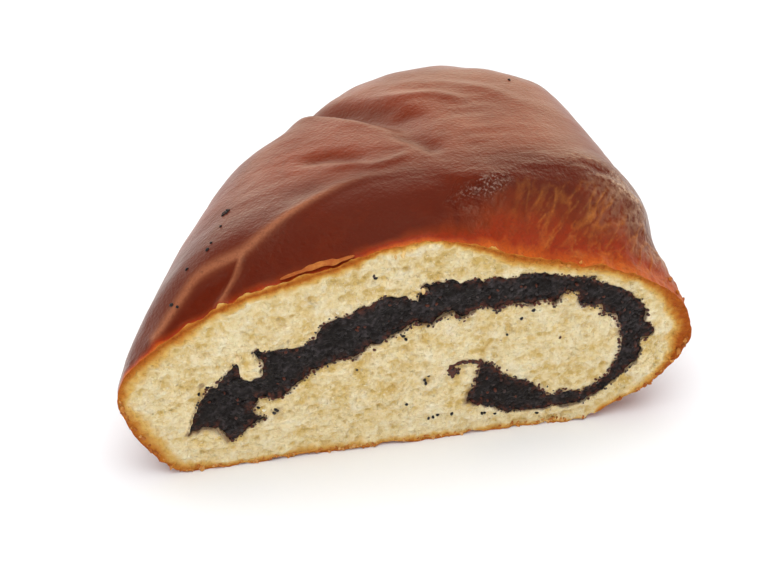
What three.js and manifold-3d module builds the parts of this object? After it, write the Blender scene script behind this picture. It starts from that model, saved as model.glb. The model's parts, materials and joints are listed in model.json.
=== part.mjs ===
// Half of a filled bread roll, cut across with a knife: a domed, two-lobed sweet-dough half with a flat
// base, and the poppy-seed filling that is rolled up inside it and shows as a flattened spiral on the cut.
// Millimetres, +Z up. The cut faces -Y, the rounded end faces +Y, and the origin is under the middle of
// the roll, on the surface that it rests on.
import * as THREE from 'three';
import { mergeVertices } from 'three/addons/utils/BufferGeometryUtils.js';
import Module from 'manifold-3d';

// Driving dimensions.
const CUT_HALF_WIDTH = 53;          // half the width across the cut, tip to tip
const CREST = 50.6;                 // height of the crown behind the cut
const DEPTH = 83;                   // from the cut to the rounded end
const SHOULDER_LEFT = 7;            // how far behind the cut the crust has risen to its full height,
const SHOULDER_RIGHT = 13;          // at the left tip and at the right end
const CREASE_DEPTH = 4.6;           // how deep the crease between the two lobes is pressed
const CREASE_WIDTH = 4.4;           // and how far it reaches to each side
const FILLING_DEPTH = 60;           // how far the filling runs in from the cut
const FIT_GAP = 0.3;                // clearance between the filling and the dough around it
const OVERRUN = 0.05;               // how far the filling's slot runs out past the cut

// Facets.
const AROUND = 76;                  // round a section
const ALONG = 24;                   // from the cut to the rounded end
const FILLING_STEPS = 60;           // along the filling's middle line
const FILLING_SLICES = 8;           // from the cut to the filling's inner end

// The cut: its outline as [across, up], from the base's left edge over the top and back to the base.
// Its first and last points dip below the base, which is trimmed flat.
const CUT_OUTLINE = [
  [-38, -0.8], [-44.6, 0.9], [-48.4, 6.2], [-51.6, 13.2], [-53, 18.6], [-50.6, 24], [-46, 27.8],
  [-40, 31.4], [-32, 35.6], [-22, 38.6], [-12, 41.2], [-4, 44.1], [3, 44.6], [10, 42.3], [19, 38.6],
  [28, 36.8], [36, 34.3], [43.5, 30.4], [49.6, 25.6], [53, 19.4], [51.6, 12.8], [47.8, 7.8], [43, 3.2],
  [35, -0.8],
];
// The section further in, with as many points: rounder, and taller by the rise of the crust.
const CROWN_OUTLINE = [
  [-36, -0.8], [-43, 0.8], [-48.5, 5], [-52, 11.5], [-53, 18], [-51, 25], [-47.5, 31.5],
  [-43, 37], [-37, 42], [-28, 45.6], [-17, 48], [-7, 49.8], [3, 50.5], [12, 50.6], [21, 50.2],
  [29.5, 48.8], [36, 46], [41.5, 41], [46, 34], [49.5, 25.5], [50.4, 17], [48, 9.5], [43, 3],
  [34, -0.8],
];
// How the section changes from the cut to the rounded end. at is the depth behind the cut; left and right
// are its widest points, crest its height as a share of CREST, and keel how far its underside lifts.
const STATIONS = [
  { at: 0, left: -53, right: 53, crest: 1, keel: 0 },
  { at: 8, left: -50.8, right: 53.3, crest: 1, keel: 0 },
  { at: 17, left: -47.4, right: 53.6, crest: 1, keel: 0 },
  { at: 25, left: -44.2, right: 53.6, crest: 1, keel: 0 },
  { at: 33, left: -40.4, right: 53.2, crest: 1, keel: 0 },
  { at: 41, left: -35.6, right: 52.2, crest: 1, keel: 0 },
  { at: 49, left: -28.8, right: 50.4, crest: 0.985, keel: 0 },
  { at: 57, left: -20, right: 47.6, crest: 0.96, keel: 0 },
  { at: 65, left: -11, right: 43.6, crest: 0.885, keel: 0.4 },
  { at: 72, left: -3, right: 38.4, crest: 0.78, keel: 1.6 },
  { at: 77.5, left: 3, right: 32.6, crest: 0.66, keel: 4 },
  { at: 81.3, left: 8.6, right: 26, crest: 0.52, keel: 7.4 },
  { at: DEPTH, left: 12.8, right: 21, crest: 0.4, keel: 11 },
];
const END_MIDDLE = [4, 22];         // the middle of both end faces, as [across, up]

// The crease between the two lobes, as [across, depth] over the top of the roll. It is full at its left
// end and has died out at its right end.
const CREASE = [[-40, 60], [-26, 53.5], [-13.5, 47], [-8, 43.5], [0, 39.5], [6, 35], [9, 29]];
const CREASE_FADE_FROM = 0.35;      // the share of its length from which it fades
const CREASE_FOOT = 16;             // height above the base at which the crease is full
const ROLL_MIDDLE = new THREE.Vector3(6, 30, 12);

// The filling's middle line on the cut, as [across, up, thickness], from its outer end to its inner end.
const FILLING_LINE = [
  [-39.5, 10.4, 3.6], [-35.4, 13.9, 8], [-30, 17.4, 8.2], [-23, 21.2, 7], [-16, 25.2, 6.8],
  [-8, 28, 7.4], [-1, 29.6, 6.4], [6, 31.4, 7.8], [13, 31.9, 6.4], [20, 31.9, 5.6], [27, 31.6, 4.6],
  [33, 29.9, 5.4], [38, 26.4, 6.2], [41.2, 21.8, 6.4], [41.9, 17.4, 5.8], [40.8, 13.2, 4.4],
  [38.4, 9.6, 3.6], [34.8, 6.8, 3.2], [30.4, 5.3, 3], [25.8, 5.4, 3.4], [21.4, 7.1, 6.4],
  [17, 9.3, 7.8], [13.6, 11.8, 6.4], [11.8, 14.8, 3.2],
];

const { lerp, smoothstep } = THREE.MathUtils;
const wasm = await Module();
wasm.setup();

/** A smooth function of the depth behind the cut, through the stations' values of one key. */
function alongRoll(key) {
  const depths = STATIONS.map((station) => station.at);
  const values = STATIONS.map((station) => station[key]);
  const curve = new THREE.CubicInterpolant(depths, values, 1);
  return (depth) => curve.evaluate(depth)[0];
}
const leftAt = alongRoll('left');
const rightAt = alongRoll('right');
const crestAt = alongRoll('crest');
const keelAt = alongRoll('keel');

/** How far across the cut a point lies, from 0 at the left tip to 1 at the right end. */
const shareAcross = (across) => (across / CUT_HALF_WIDTH + 1) / 2;

/** Where a point of the section, given as if at the cut, lies at a depth behind the cut. */
function placed(across, up, depth) {
  const x = lerp(leftAt(depth), rightAt(depth), shareAcross(across));
  const lift = keelAt(depth);
  return new THREE.Vector3(x, depth, lift + up * (crestAt(depth) - lift / CREST));
}

/** Presses a point of the crust in where the crease between the lobes runs past it. */
const creaseLine = new THREE.SplineCurve(CREASE.map(([x, y]) => new THREE.Vector2(x, y))).getPoints(40);
function creased(point) {
  let nearest = Infinity;
  let share = 0;
  creaseLine.forEach((p, i) => {
    const distance = Math.hypot(point.x - p.x, point.y - p.y);
    if (distance < nearest) {
      nearest = distance;
      share = i / (creaseLine.length - 1);
    }
  });
  const fade = 1 - smoothstep(share, CREASE_FADE_FROM, 1);
  const press = CREASE_DEPTH * fade * Math.exp(-((nearest / CREASE_WIDTH) ** 2));
  const inward = ROLL_MIDDLE.clone().sub(point).normalize();
  return point.clone().addScaledVector(inward, press * smoothstep(point.z, 0, CREASE_FOOT));
}

/** A BufferGeometry as a manifold-3d solid, from its positions alone. */
function solidOf(geometry) {
  geometry.deleteAttribute('normal');
  geometry.deleteAttribute('uv');
  const merged = mergeVertices(geometry, 1e-4);
  return new wasm.Manifold(new wasm.Mesh({
    numProp: 3,
    vertProperties: Float32Array.from(merged.attributes.position.array),
    triVerts: Uint32Array.from(merged.index.array),
  }));
}

/** A manifold-3d solid as a named mesh. */
function meshOf(name, solid, material) {
  const { vertProperties, triVerts, numProp } = solid.getMesh();
  const positions = new Float32Array((vertProperties.length / numProp) * 3);
  for (let i = 0; i < positions.length / 3; i++) {
    positions.set(vertProperties.subarray(i * numProp, i * numProp + 3), i * 3);
  }
  const geometry = new THREE.BufferGeometry();
  geometry.setAttribute('position', new THREE.BufferAttribute(positions, 3));
  geometry.setIndex(new THREE.BufferAttribute(Uint32Array.from(triVerts), 1));
  geometry.computeVertexNormals();
  const mesh = new THREE.Mesh(geometry, material);
  mesh.name = name;
  return mesh;
}

/** Everything below the base, as a solid for trimming the roll flat. */
function belowBase() {
  const thickness = 20;
  const geometry = new THREE.BoxGeometry(4 * CUT_HALF_WIDTH, 2 * DEPTH, thickness);
  geometry.translate(0, DEPTH / 2, -thickness / 2);
  return solidOf(geometry);
}

/** An outline's points as a closed smooth curve with one point for each facet round the roll. */
function smoothOutline(points) {
  const corners = points.map(([x, z]) => new THREE.Vector3(x, 0, z));
  return new THREE.CatmullRomCurve3(corners, true, 'centripetal').getPoints(AROUND);
}

/** The whole baked roll with no slot: a cylinder whose rings take the section at each depth. */
function rollBody() {
  const cut = smoothOutline(CUT_OUTLINE);
  const crown = smoothOutline(CROWN_OUTLINE);
  const geometry = new THREE.CylinderGeometry(1, 1, 1, AROUND, ALONG, false);
  const position = geometry.attributes.position;
  const corner = new THREE.Vector3();
  for (let i = 0; i < position.count; i++) {
    corner.fromBufferAttribute(position, i);
    // Rings crowd towards both ends, where the crust bends most.
    const along = 0.5 - corner.y;
    const depth = DEPTH * lerp(Math.sin((along * Math.PI) / 2) ** 1.35, along, 0.35);
    if (Math.hypot(corner.x, corner.z) < 0.5) {
      position.setXYZ(i, ...placed(...END_MIDDLE, depth));
      continue;
    }
    const turn = Math.atan2(-corner.x, corner.z) / (2 * Math.PI);
    const around = Math.round(((turn + 1) % 1) * AROUND) % AROUND;
    const shoulder = lerp(SHOULDER_LEFT, SHOULDER_RIGHT, shareAcross(cut[around].x));
    const section = cut[around].clone().lerp(crown[around], smoothstep(depth, 0, shoulder));
    const point = creased(placed(section.x, section.z, depth));
    position.setXYZ(i, point.x, depth, point.z);
  }
  return solidOf(geometry).subtract(belowBase());
}

/** One edge of the filling on the cut, on one side of its middle line, moved out by a margin. */
function fillingEdge(line, side, margin) {
  return line.map((p, i) => {
    const before = line[Math.max(0, i - 1)];
    const after = line[Math.min(FILLING_STEPS, i + 1)];
    const along = new THREE.Vector2(after.x - before.x, after.y - before.y).normalize();
    const reach = side * (p.z / 2 + margin);
    const atInnerEnd = i === FILLING_STEPS ? margin : 0;
    const push = i === 0 ? -margin : atInnerEnd;
    return new THREE.Vector2(p.x - along.y * reach + along.x * push, p.y + along.x * reach + along.y * push);
  });
}

/** The rolled-up filling, grown by a margin on all sides and run out past the cut by an overrun. */
function fillingBody(margin, overrun) {
  const corners = FILLING_LINE.map(([x, z, thickness]) => new THREE.Vector3(x, z, thickness));
  const line = new THREE.CatmullRomCurve3(corners, false, 'centripetal').getPoints(FILLING_STEPS);
  const upper = fillingEdge(line, 1, margin);
  const lower = fillingEdge(line, -1, margin);
  const shape = new THREE.Shape([...upper, ...lower.reverse()]);
  const geometry = new THREE.ExtrudeGeometry(shape, { depth: 1, steps: FILLING_SLICES, bevelEnabled: false });
  const position = geometry.attributes.position;
  for (let i = 0; i < position.count; i++) {
    const inward = 1 - position.getZ(i);
    const atInnerEnd = inward > 1 - 1e-6 ? margin : 0;
    const push = inward < 1e-6 ? -overrun : atInnerEnd;
    const point = placed(position.getX(i), position.getY(i), inward * FILLING_DEPTH);
    position.setXYZ(i, point.x, point.y + push, point.z);
  }
  return solidOf(geometry);
}

const crust = new THREE.MeshStandardMaterial({ color: 0x8a3d16, roughness: 0.42, metalness: 0 });
const poppySeed = new THREE.MeshStandardMaterial({ color: 0x1d1b20, roughness: 0.8, metalness: 0 });

const roll = new THREE.Group();
roll.add(meshOf('bread', rollBody().subtract(fillingBody(FIT_GAP, OVERRUN)), crust));
roll.add(meshOf('poppy_seed_filling', fillingBody(0, 0), poppySeed));

// The origin goes under the middle of the roll's own box.
const box = new THREE.Box3().setFromObject(roll);
roll.position.set(-(box.min.x + box.max.x) / 2, -(box.min.y + box.max.y) / 2, -box.min.z);

export default roll;
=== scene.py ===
"""Half of a poppy-seed roll, cut across with a knife, dressed around its CAD frame.

The dough is one loft with a sculpted, glazed crust and a torn crumb face. The rolled-up filling is a
granular band set into it, with single poppy seeds, bread crumbs and a flake of crust on top. Lengths are
in metres; the driving sizes are written in millimetres and multiplied by MM.
"""

import itertools
import json
import logging
import math
from dataclasses import dataclass, field
from enum import Enum
from typing import Callable

import bmesh
import bpy
import numpy as np
from mathutils import Euler, Matrix, Vector
from mathutils.bvhtree import BVHTree

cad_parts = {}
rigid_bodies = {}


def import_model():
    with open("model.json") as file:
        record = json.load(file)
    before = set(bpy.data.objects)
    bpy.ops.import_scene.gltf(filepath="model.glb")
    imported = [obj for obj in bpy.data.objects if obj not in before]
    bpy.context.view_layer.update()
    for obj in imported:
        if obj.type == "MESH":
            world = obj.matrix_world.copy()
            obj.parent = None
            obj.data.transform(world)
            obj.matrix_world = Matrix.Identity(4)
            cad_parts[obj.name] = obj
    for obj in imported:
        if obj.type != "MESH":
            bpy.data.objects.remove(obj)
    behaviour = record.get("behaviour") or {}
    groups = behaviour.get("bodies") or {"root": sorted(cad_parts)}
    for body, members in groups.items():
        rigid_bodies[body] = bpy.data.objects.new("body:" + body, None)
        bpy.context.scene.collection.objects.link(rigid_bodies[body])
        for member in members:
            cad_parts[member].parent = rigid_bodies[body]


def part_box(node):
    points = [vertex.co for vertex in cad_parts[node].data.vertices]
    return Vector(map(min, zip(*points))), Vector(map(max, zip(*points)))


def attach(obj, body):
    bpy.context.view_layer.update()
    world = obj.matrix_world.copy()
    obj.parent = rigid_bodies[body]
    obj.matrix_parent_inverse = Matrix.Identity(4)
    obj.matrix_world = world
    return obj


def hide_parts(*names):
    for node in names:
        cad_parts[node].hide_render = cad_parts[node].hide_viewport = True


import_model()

LOG = logging.getLogger("poppy_seed_roll")
MM = 0.001
ROOT = "root"

Points = np.ndarray
Outline = tuple[tuple[float, float], ...]
Colour = tuple[float, float, float]


# ---------------------------------------------------------------------------------------------------
# Numbers: smooth steps, curves and seeded noise
# ---------------------------------------------------------------------------------------------------

def smoothstep(value: Points | float, low: float, high: float) -> Points:
    """Rise smoothly from 0 at low to 1 at high."""
    share = np.clip((np.asarray(value, float) - low) / (high - low), 0.0, 1.0)
    return share * share * (3.0 - 2.0 * share)


def bell(distance: Points, width: float) -> Points:
    """Fall off smoothly from 1 at distance 0 to about a third at the width."""
    return np.exp(-((distance / width) ** 2))


def blend(low: Points | float, high: Points | float, share: Points | float) -> Points:
    """Mix two values: low where the share is 0 and high where it is 1."""
    return low + (high - low) * share


def through_values(at: Points, stops: Points, values: Points) -> Points:
    """Evaluate a smooth curve through values at rising stops.

    Args:
        at: Where to evaluate the curve.
        stops: The rising places of the given values.
        values: The values there.

    Returns:
        The curve's values; past both ends it keeps the end value.
    """
    at = np.clip(at, stops[0], stops[-1])
    slopes = np.gradient(values, stops)
    i = np.clip(np.searchsorted(stops, at, side="right") - 1, 0, len(stops) - 2)
    span = stops[i + 1] - stops[i]
    t = (at - stops[i]) / span
    start = values[i] * (2 * t**3 - 3 * t**2 + 1) + slopes[i] * span * (t**3 - 2 * t**2 + t)
    return start + values[i + 1] * (3 * t**2 - 2 * t**3) + slopes[i + 1] * span * (t**3 - t**2)


def smooth_curve(points: Points, count: int, closed: bool) -> Points:
    """Run a smooth curve through points.

    Args:
        points: The points, one row each.
        count: How many points the curve gets.
        closed: Whether it runs on from the last point to the first.

    Returns:
        The curve's points, spread evenly from one given point to the next.
    """
    rows = len(points)
    place = np.linspace(0, rows if closed else rows - 1, count, endpoint=not closed)
    i = np.minimum(place.astype(int), rows - 1 if closed else rows - 2)
    t = (place - i)[:, None]
    if closed:
        before, start, end, after = (points[(i + step) % rows] for step in (-1, 0, 1, 2))
    else:
        padded = np.vstack([2 * points[0] - points[1], points, 2 * points[-1] - points[-2]])
        before, start, end, after = (padded[i + step] for step in (0, 1, 2, 3))
    bend = t * (2 * before - 5 * start + 4 * end - after) + t**2 * (3 * start - 3 * end + after - before)
    return start + 0.5 * t * (end - before + bend)


def evenly(line: Points, step: float) -> Points:
    """Place points along a line of straight runs, a step apart.

    Args:
        line: The line's corners, one row each.
        step: The distance from one point to the next.

    Returns:
        The points, one row each, from the line's start to its end.
    """
    runs = np.linalg.norm(np.diff(line, axis=0), axis=1)
    place = np.concatenate([[0.0], np.cumsum(runs)])
    at = np.linspace(0, place[-1], max(2, round(place[-1] / step)) + 1)
    return np.stack([np.interp(at, place, column) for column in line.T], axis=1)


def near_line(points: Points, line: Points) -> tuple[Points, Points]:
    """Measure how far points lie from a line.

    Args:
        points: The points, one row each.
        line: The line's points, with as many columns.

    Returns:
        Each point's distance from the line, and how far along the line its nearest place is, from 0 to 1.
    """
    distance = np.full(len(points), np.inf)
    share = np.zeros(len(points))
    for i, (start, end) in enumerate(zip(line[:-1], line[1:])):
        run = end - start
        t = np.clip((points - start) @ run / (run @ run), 0.0, 1.0)
        reach = np.linalg.norm(points - start - t[:, None] * run, axis=1)
        nearer = reach < distance
        distance[nearer] = reach[nearer]
        share[nearer] = (i + t[nearer]) / (len(line) - 1)
    return distance, share


# Large numbers that turn the number of a cell, a seed and a kind of draw into an even scatter. Each
# scramble is a shift and a factor.
STRIDES = (73856093, 19349663, 83492791)
SEED_STRIDE = 7919
SALT_STRIDE = 104729
SCRAMBLES = ((15, 2246822519), (13, 3266489917))


@dataclass(frozen=True)
class Grain:
    """Seeded noise for many points at once, which gives the same numbers on each run."""

    seed: int

    def _random(self, cells: Points, salt: int) -> Points:
        """Give each whole-number cell a number from 0 to 1.

        Args:
            cells: The cells, one row each.
            salt: Picks one of many sets of numbers.

        Returns:
            One number per cell.
        """
        mask = np.uint64(0xFFFFFFFF)
        key = (cells.astype(np.int64) @ np.array(STRIDES, np.int64)).astype(np.uint64)
        key = key + np.uint64(self.seed * SEED_STRIDE + salt * SALT_STRIDE)
        for shift, factor in SCRAMBLES:
            key = ((key ^ (key >> np.uint64(shift))) * np.uint64(factor)) & mask
        return ((key ^ (key >> np.uint64(16))) & mask).astype(float) / float(mask)

    def smooth(self, points: Points, size: float | Points) -> Points:
        """Smooth noise from -1 to 1.

        Args:
            points: Where to evaluate it, one row each.
            size: About how large its waves are, alike or different along X, Y and Z.

        Returns:
            One number per point.
        """
        place = points / size
        cell = np.floor(place)
        t = place - cell
        t = t**3 * (t * (t * 6 - 15) + 10)
        total = np.zeros(len(points))
        for corner in itertools.product((0, 1), repeat=3):
            weight = np.prod(np.where(corner, t, 1 - t), axis=1)
            total += weight * self._random(cell + corner, 0)
        return 2 * total - 1

    def layered(self, points: Points, size: float | Points, layers: int = 3) -> Points:
        """Smooth noise with finer layers on top, each half as large and half as strong.

        Args:
            points: Where to evaluate it, one row each.
            size: The size of the largest waves.
            layers: How many layers there are.

        Returns:
            One number per point.
        """
        size = np.asarray(size, float)
        parts = [self.smooth(points + 17.3 * size * i, size / 2**i) / 2**i for i in range(layers)]
        return sum(parts) / (2 - 2 / 2**layers)

    def cells(self, points: Points, size: float | Points) -> tuple[Points, Points, Points]:
        """Measure scattered cells.

        Args:
            points: Where to measure.
            size: The cells' size, which may differ along X, Y and Z.

        Returns:
            The distances to the nearest and to the second cell's middle, in cell sizes, and a number
            from 0 to 1 that is the nearest cell's own.
        """
        place = points / size
        home = np.floor(place)
        nearest = np.full(len(points), 9.0)
        second = nearest.copy()
        mark = np.zeros(len(points))
        for offset in itertools.product((-1, 0, 1), repeat=3):
            cell = home + offset
            middle = cell + np.stack([self._random(cell, salt) for salt in (1, 2, 3)], axis=1)
            reach = np.linalg.norm(place - middle, axis=1)
            nearer = reach < nearest
            second = np.where(nearer, nearest, np.minimum(second, reach))
            mark = np.where(nearer, self._random(cell, 4), mark)
            nearest = np.where(nearer, reach, nearest)
        return nearest, second, mark


# ---------------------------------------------------------------------------------------------------
# The bench: small helpers around operators and meshes
# ---------------------------------------------------------------------------------------------------

class Bench:
    """Puts pieces on the bench and works on them with operators and modifiers."""

    @staticmethod
    def clear() -> None:
        """Leave edit mode and deselect everything."""
        if bpy.context.object and bpy.context.object.mode != "OBJECT":
            bpy.ops.object.mode_set(mode="OBJECT")
        bpy.ops.object.select_all(action="DESELECT")

    @staticmethod
    def take(piece: bpy.types.Object) -> None:
        """Make one piece the only selected and the active one.

        Args:
            piece: The piece.
        """
        Bench.clear()
        piece.select_set(True)
        bpy.context.view_layer.objects.active = piece

    @staticmethod
    def named(name: str) -> bpy.types.Object:
        """Name the piece that an operator has just added, and put its place into its mesh.

        Args:
            name: Its new name.

        Returns:
            The object.
        """
        piece = bpy.context.object
        piece.name = piece.data.name = name
        bpy.ops.object.transform_apply(location=True, rotation=True, scale=True)
        return piece

    @staticmethod
    def finish(piece: bpy.types.Object, kind: str, **settings: object) -> None:
        """Add a modifier with its settings and apply it.

        Args:
            piece: The piece.
            kind: The modifier's type.
            settings: The modifier's settings.
        """
        Bench.take(piece)
        modifier = piece.modifiers.new(kind.title(), kind)
        for key, value in settings.items():
            setattr(modifier, key, value)
        bpy.ops.object.modifier_apply(modifier=modifier.name)

    @staticmethod
    def cut(piece: bpy.types.Object, tool: bpy.types.Object) -> None:
        """Cut a tool's shape out of a piece and throw the tool away.

        Args:
            piece: The piece.
            tool: The solid to take away; it is used up.
        """
        Bench.finish(piece, "BOOLEAN", operation="DIFFERENCE", solver="MANIFOLD", object=tool,
                     material_mode="INDEX")
        bpy.data.meshes.remove(tool.data)

    @staticmethod
    def mend(piece: bpy.types.Object) -> None:
        """Clear up what cuts leave: points that only split an edge, and slivers that hang loose.

        Args:
            piece: The piece.
        """
        Bench.take(piece)
        bpy.ops.object.mode_set(mode="EDIT")
        bpy.ops.mesh.select_mode(type="VERT")
        for _ in range(2):
            bpy.ops.mesh.select_all(action="DESELECT")
            mesh = bmesh.from_edit_mesh(piece.data)
            for vertex in mesh.verts:
                vertex.select = len(vertex.link_edges) == 2
            bmesh.update_edit_mesh(piece.data)
            bpy.ops.mesh.dissolve_verts()
        bpy.ops.mesh.select_all(action="DESELECT")
        mesh = bmesh.from_edit_mesh(piece.data)
        max(mesh.verts, key=lambda vertex: vertex.co.y).select = True
        bmesh.update_edit_mesh(piece.data)
        bpy.ops.mesh.select_linked()
        bpy.ops.mesh.select_all(action="INVERT")
        bpy.ops.mesh.delete(type="VERT")
        bpy.ops.object.mode_set(mode="OBJECT")

    @staticmethod
    def places(piece: bpy.types.Object) -> Points:
        """The piece's vertices, one row each.

        Args:
            piece: The piece.

        Returns:
            The places, one row each.
        """
        co = np.empty(len(piece.data.vertices) * 3)
        piece.data.vertices.foreach_get("co", co)
        return co.reshape(-1, 3)

    @staticmethod
    def normals(piece: bpy.types.Object) -> Points:
        """The directions that the piece's vertices face, one row each.

        Args:
            piece: The piece.

        Returns:
            The normals, one row each.
        """
        rows = np.empty(len(piece.data.vertices) * 3)
        piece.data.vertex_normals.foreach_get("vector", rows)
        return rows.reshape(-1, 3)

    @staticmethod
    def move(piece: bpy.types.Object, places: Points) -> None:
        """Put the piece's vertices at new places."""
        piece.data.vertices.foreach_set("co", places.astype(np.float32).ravel())
        piece.data.update()

    @staticmethod
    def paint(piece: bpy.types.Object, name: str, values: Points) -> None:
        """Store one number per vertex under a name that materials read."""
        layer = piece.data.attributes.new(name, "FLOAT", "POINT")
        layer.data.foreach_set("value", np.clip(values, 0.0, 1.0).astype(np.float32))

    @staticmethod
    def face_slots(piece: bpy.types.Object, slot: int) -> None:
        """Give all faces of a piece one material slot."""
        count = len(piece.data.polygons)
        piece.data.polygons.foreach_set("material_index", np.full(count, slot, np.int32))

    @staticmethod
    def loft(name: str, rings: list[Points]) -> bpy.types.Object:
        """Extrude a filled ring through a row of rings.

        Args:
            name: The piece's name.
            rings: The rings, each with the same number of points. The first is filled and faces back.

        Returns:
            The closed piece, in object mode.
        """
        Bench.clear()
        bpy.ops.mesh.primitive_circle_add(vertices=len(rings[0]), radius=MM, fill_type="NGON")
        piece = Bench.named(name)
        bpy.ops.object.mode_set(mode="EDIT")
        mesh = bmesh.from_edit_mesh(piece.data)
        around = mesh.verts.layers.int.new("around")
        mesh.verts.ensure_lookup_table()
        for i, vertex in enumerate(mesh.verts):
            vertex[around] = i
            vertex.co = rings[0][i]
        for ring in rings[1:]:
            bmesh.update_edit_mesh(piece.data)
            bpy.ops.mesh.extrude_region_move()
            mesh = bmesh.from_edit_mesh(piece.data)
            around = mesh.verts.layers.int["around"]
            for vertex in mesh.verts:
                if vertex.select:
                    vertex.co = ring[vertex[around]]
        bmesh.update_edit_mesh(piece.data)
        bpy.ops.mesh.select_all(action="SELECT")
        bpy.ops.mesh.normals_make_consistent(inside=False)
        bpy.ops.object.mode_set(mode="OBJECT")
        return piece

    @staticmethod
    def select_faces(piece: bpy.types.Object, chosen: Points) -> None:
        """Open a piece in edit mode with only the chosen faces selected.

        Args:
            piece: The piece.
            chosen: One true or false per face.
        """
        Bench.take(piece)
        bpy.ops.object.mode_set(mode="EDIT")
        bpy.ops.mesh.select_mode(type="FACE")
        bpy.ops.mesh.select_all(action="DESELECT")
        bpy.ops.object.mode_set(mode="OBJECT")
        piece.data.polygons.foreach_set("select", chosen)
        bpy.ops.object.mode_set(mode="EDIT")

    @staticmethod
    def face_middles(piece: bpy.types.Object) -> Points:
        """The middles of the piece's faces, one row each.

        Args:
            piece: The piece.

        Returns:
            The middles, one row each.
        """
        rows = np.empty(len(piece.data.polygons) * 3)
        piece.data.polygons.foreach_get("center", rows)
        return rows.reshape(-1, 3)

    @staticmethod
    def scatter(name: str, model: bpy.types.Object, places: list[Matrix]) -> bpy.types.Object:
        """Copy a small model to many places.

        Args:
            name: The new piece's name.
            model: The model, around the origin. It becomes the new piece.
            places: Where each copy goes.

        Returns:
            One piece of all the copies.
        """
        corners = np.hstack([Bench.places(model), np.ones((len(model.data.vertices), 1))])
        Bench.finish(model, "ARRAY", count=len(places), use_relative_offset=False)
        Bench.move(model, np.vstack([(corners @ np.array(place).T)[:, :3] for place in places]))
        model.name = model.data.name = name
        return model


# ---------------------------------------------------------------------------------------------------
# The roll's shape
# ---------------------------------------------------------------------------------------------------

CUT_OUTLINE: Outline = (
    (-38, -0.8), (-44.6, 0.9), (-48.4, 6.2), (-51.6, 13.2), (-53, 18.6), (-50.6, 24), (-46, 27.8),
    (-40, 31.4), (-32, 35.6), (-22, 38.6), (-12, 41.2), (-4, 44.1), (3, 44.6), (10, 42.3), (19, 38.6),
    (28, 36.8), (36, 34.3), (43.5, 30.4), (49.6, 25.6), (53, 19.4), (51.6, 13.2), (47.8, 8.4), (42.8, 4.7),
    (36.8, 2.3), (30, -0.8), (-1, -0.8), (-20, -0.8),
)
CROWN_OUTLINE: Outline = (
    (-36, -0.8), (-43, 0.8), (-48.5, 5), (-52, 11.5), (-53, 18), (-51, 25), (-47.5, 31.5),
    (-43, 37), (-37, 42), (-28, 45.6), (-17, 48), (-7, 49.8), (3, 50.5), (12, 50.6), (21, 50.2),
    (29.5, 48.8), (36, 46), (41.5, 41), (46, 34), (49.5, 25.5), (50.4, 17), (48, 9.5), (43, 3),
    (34, -0.8), (17, -0.8), (-1, -0.8), (-19, -0.8),
)
# Each row: depth behind the cut, left edge, right edge, crest height as a share, lift of the underside.
STATIONS: tuple[tuple[float, ...], ...] = (
    (0, -53, 53, 1, 0), (8, -50.8, 53.3, 1, 0), (17, -47.4, 53.6, 1, 0), (25, -44.2, 53.6, 1, 0),
    (33, -40.4, 53.2, 1, 0), (41, -35.6, 52.2, 1, 0), (49, -28.8, 50.4, 0.985, 0),
    (57, -20, 47.6, 0.96, 0), (65, -11, 43.6, 0.885, 0.4), (72, -3, 38.4, 0.78, 1.6),
    (77.5, 3, 32.6, 0.66, 4), (81.3, 8.6, 26, 0.52, 7.4), (83, 12.8, 21, 0.4, 11),
)
# The filling on the cut, across and up: its outer edge from the outer end to the inner one, then its
# inner edge back. Lumps of dough bite into it, and tufts of seed stand out.
FILLING_OUTER: Outline = (
    (-41.4, 8.6), (-40.4, 12.4), (-38.8, 15.3), (-37.2, 18.1), (-35.5, 19), (-34.1, 21), (-31.9, 23.4),
    (-31.1, 20.4), (-29.3, 19.5), (-27.6, 20.8), (-27.4, 22.7), (-28.8, 25.1), (-28, 25.9), (-27.2, 24.9),
    (-20.3, 25.4), (-18.1, 26.7), (-17.2, 28.4), (-15.3, 30.3), (-9.3, 31.9), (-5.1, 33.5), (-1.9, 33.1),
    (0.4, 31.9), (0.8, 33.7), (2.4, 33.7), (1, 35.3), (6.3, 35.9), (8.1, 34.8), (11.3, 35.2), (12.1, 34.1),
    (12.7, 35.3), (16, 34.8), (22.8, 35.1), (26.3, 34.1), (32.8, 33), (31.9, 32.2), (34.8, 31.6),
    (37.4, 30.1), (40, 28.5), (40.6, 27), (41.8, 26.6), (43.4, 23.7), (42.9, 21.6), (44.5, 20.6),
    (45.1, 19.3), (44.1, 17.4), (42.6, 17.2), (42.6, 15.8), (43.4, 15), (42.6, 12.6), (40.1, 9.9),
    (37.8, 7.6), (34.4, 5.6), (31.2, 4.2), (22.2, 4.1), (18.3, 3.9), (14.4, 6.1), (9.6, 7.4),
)
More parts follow.
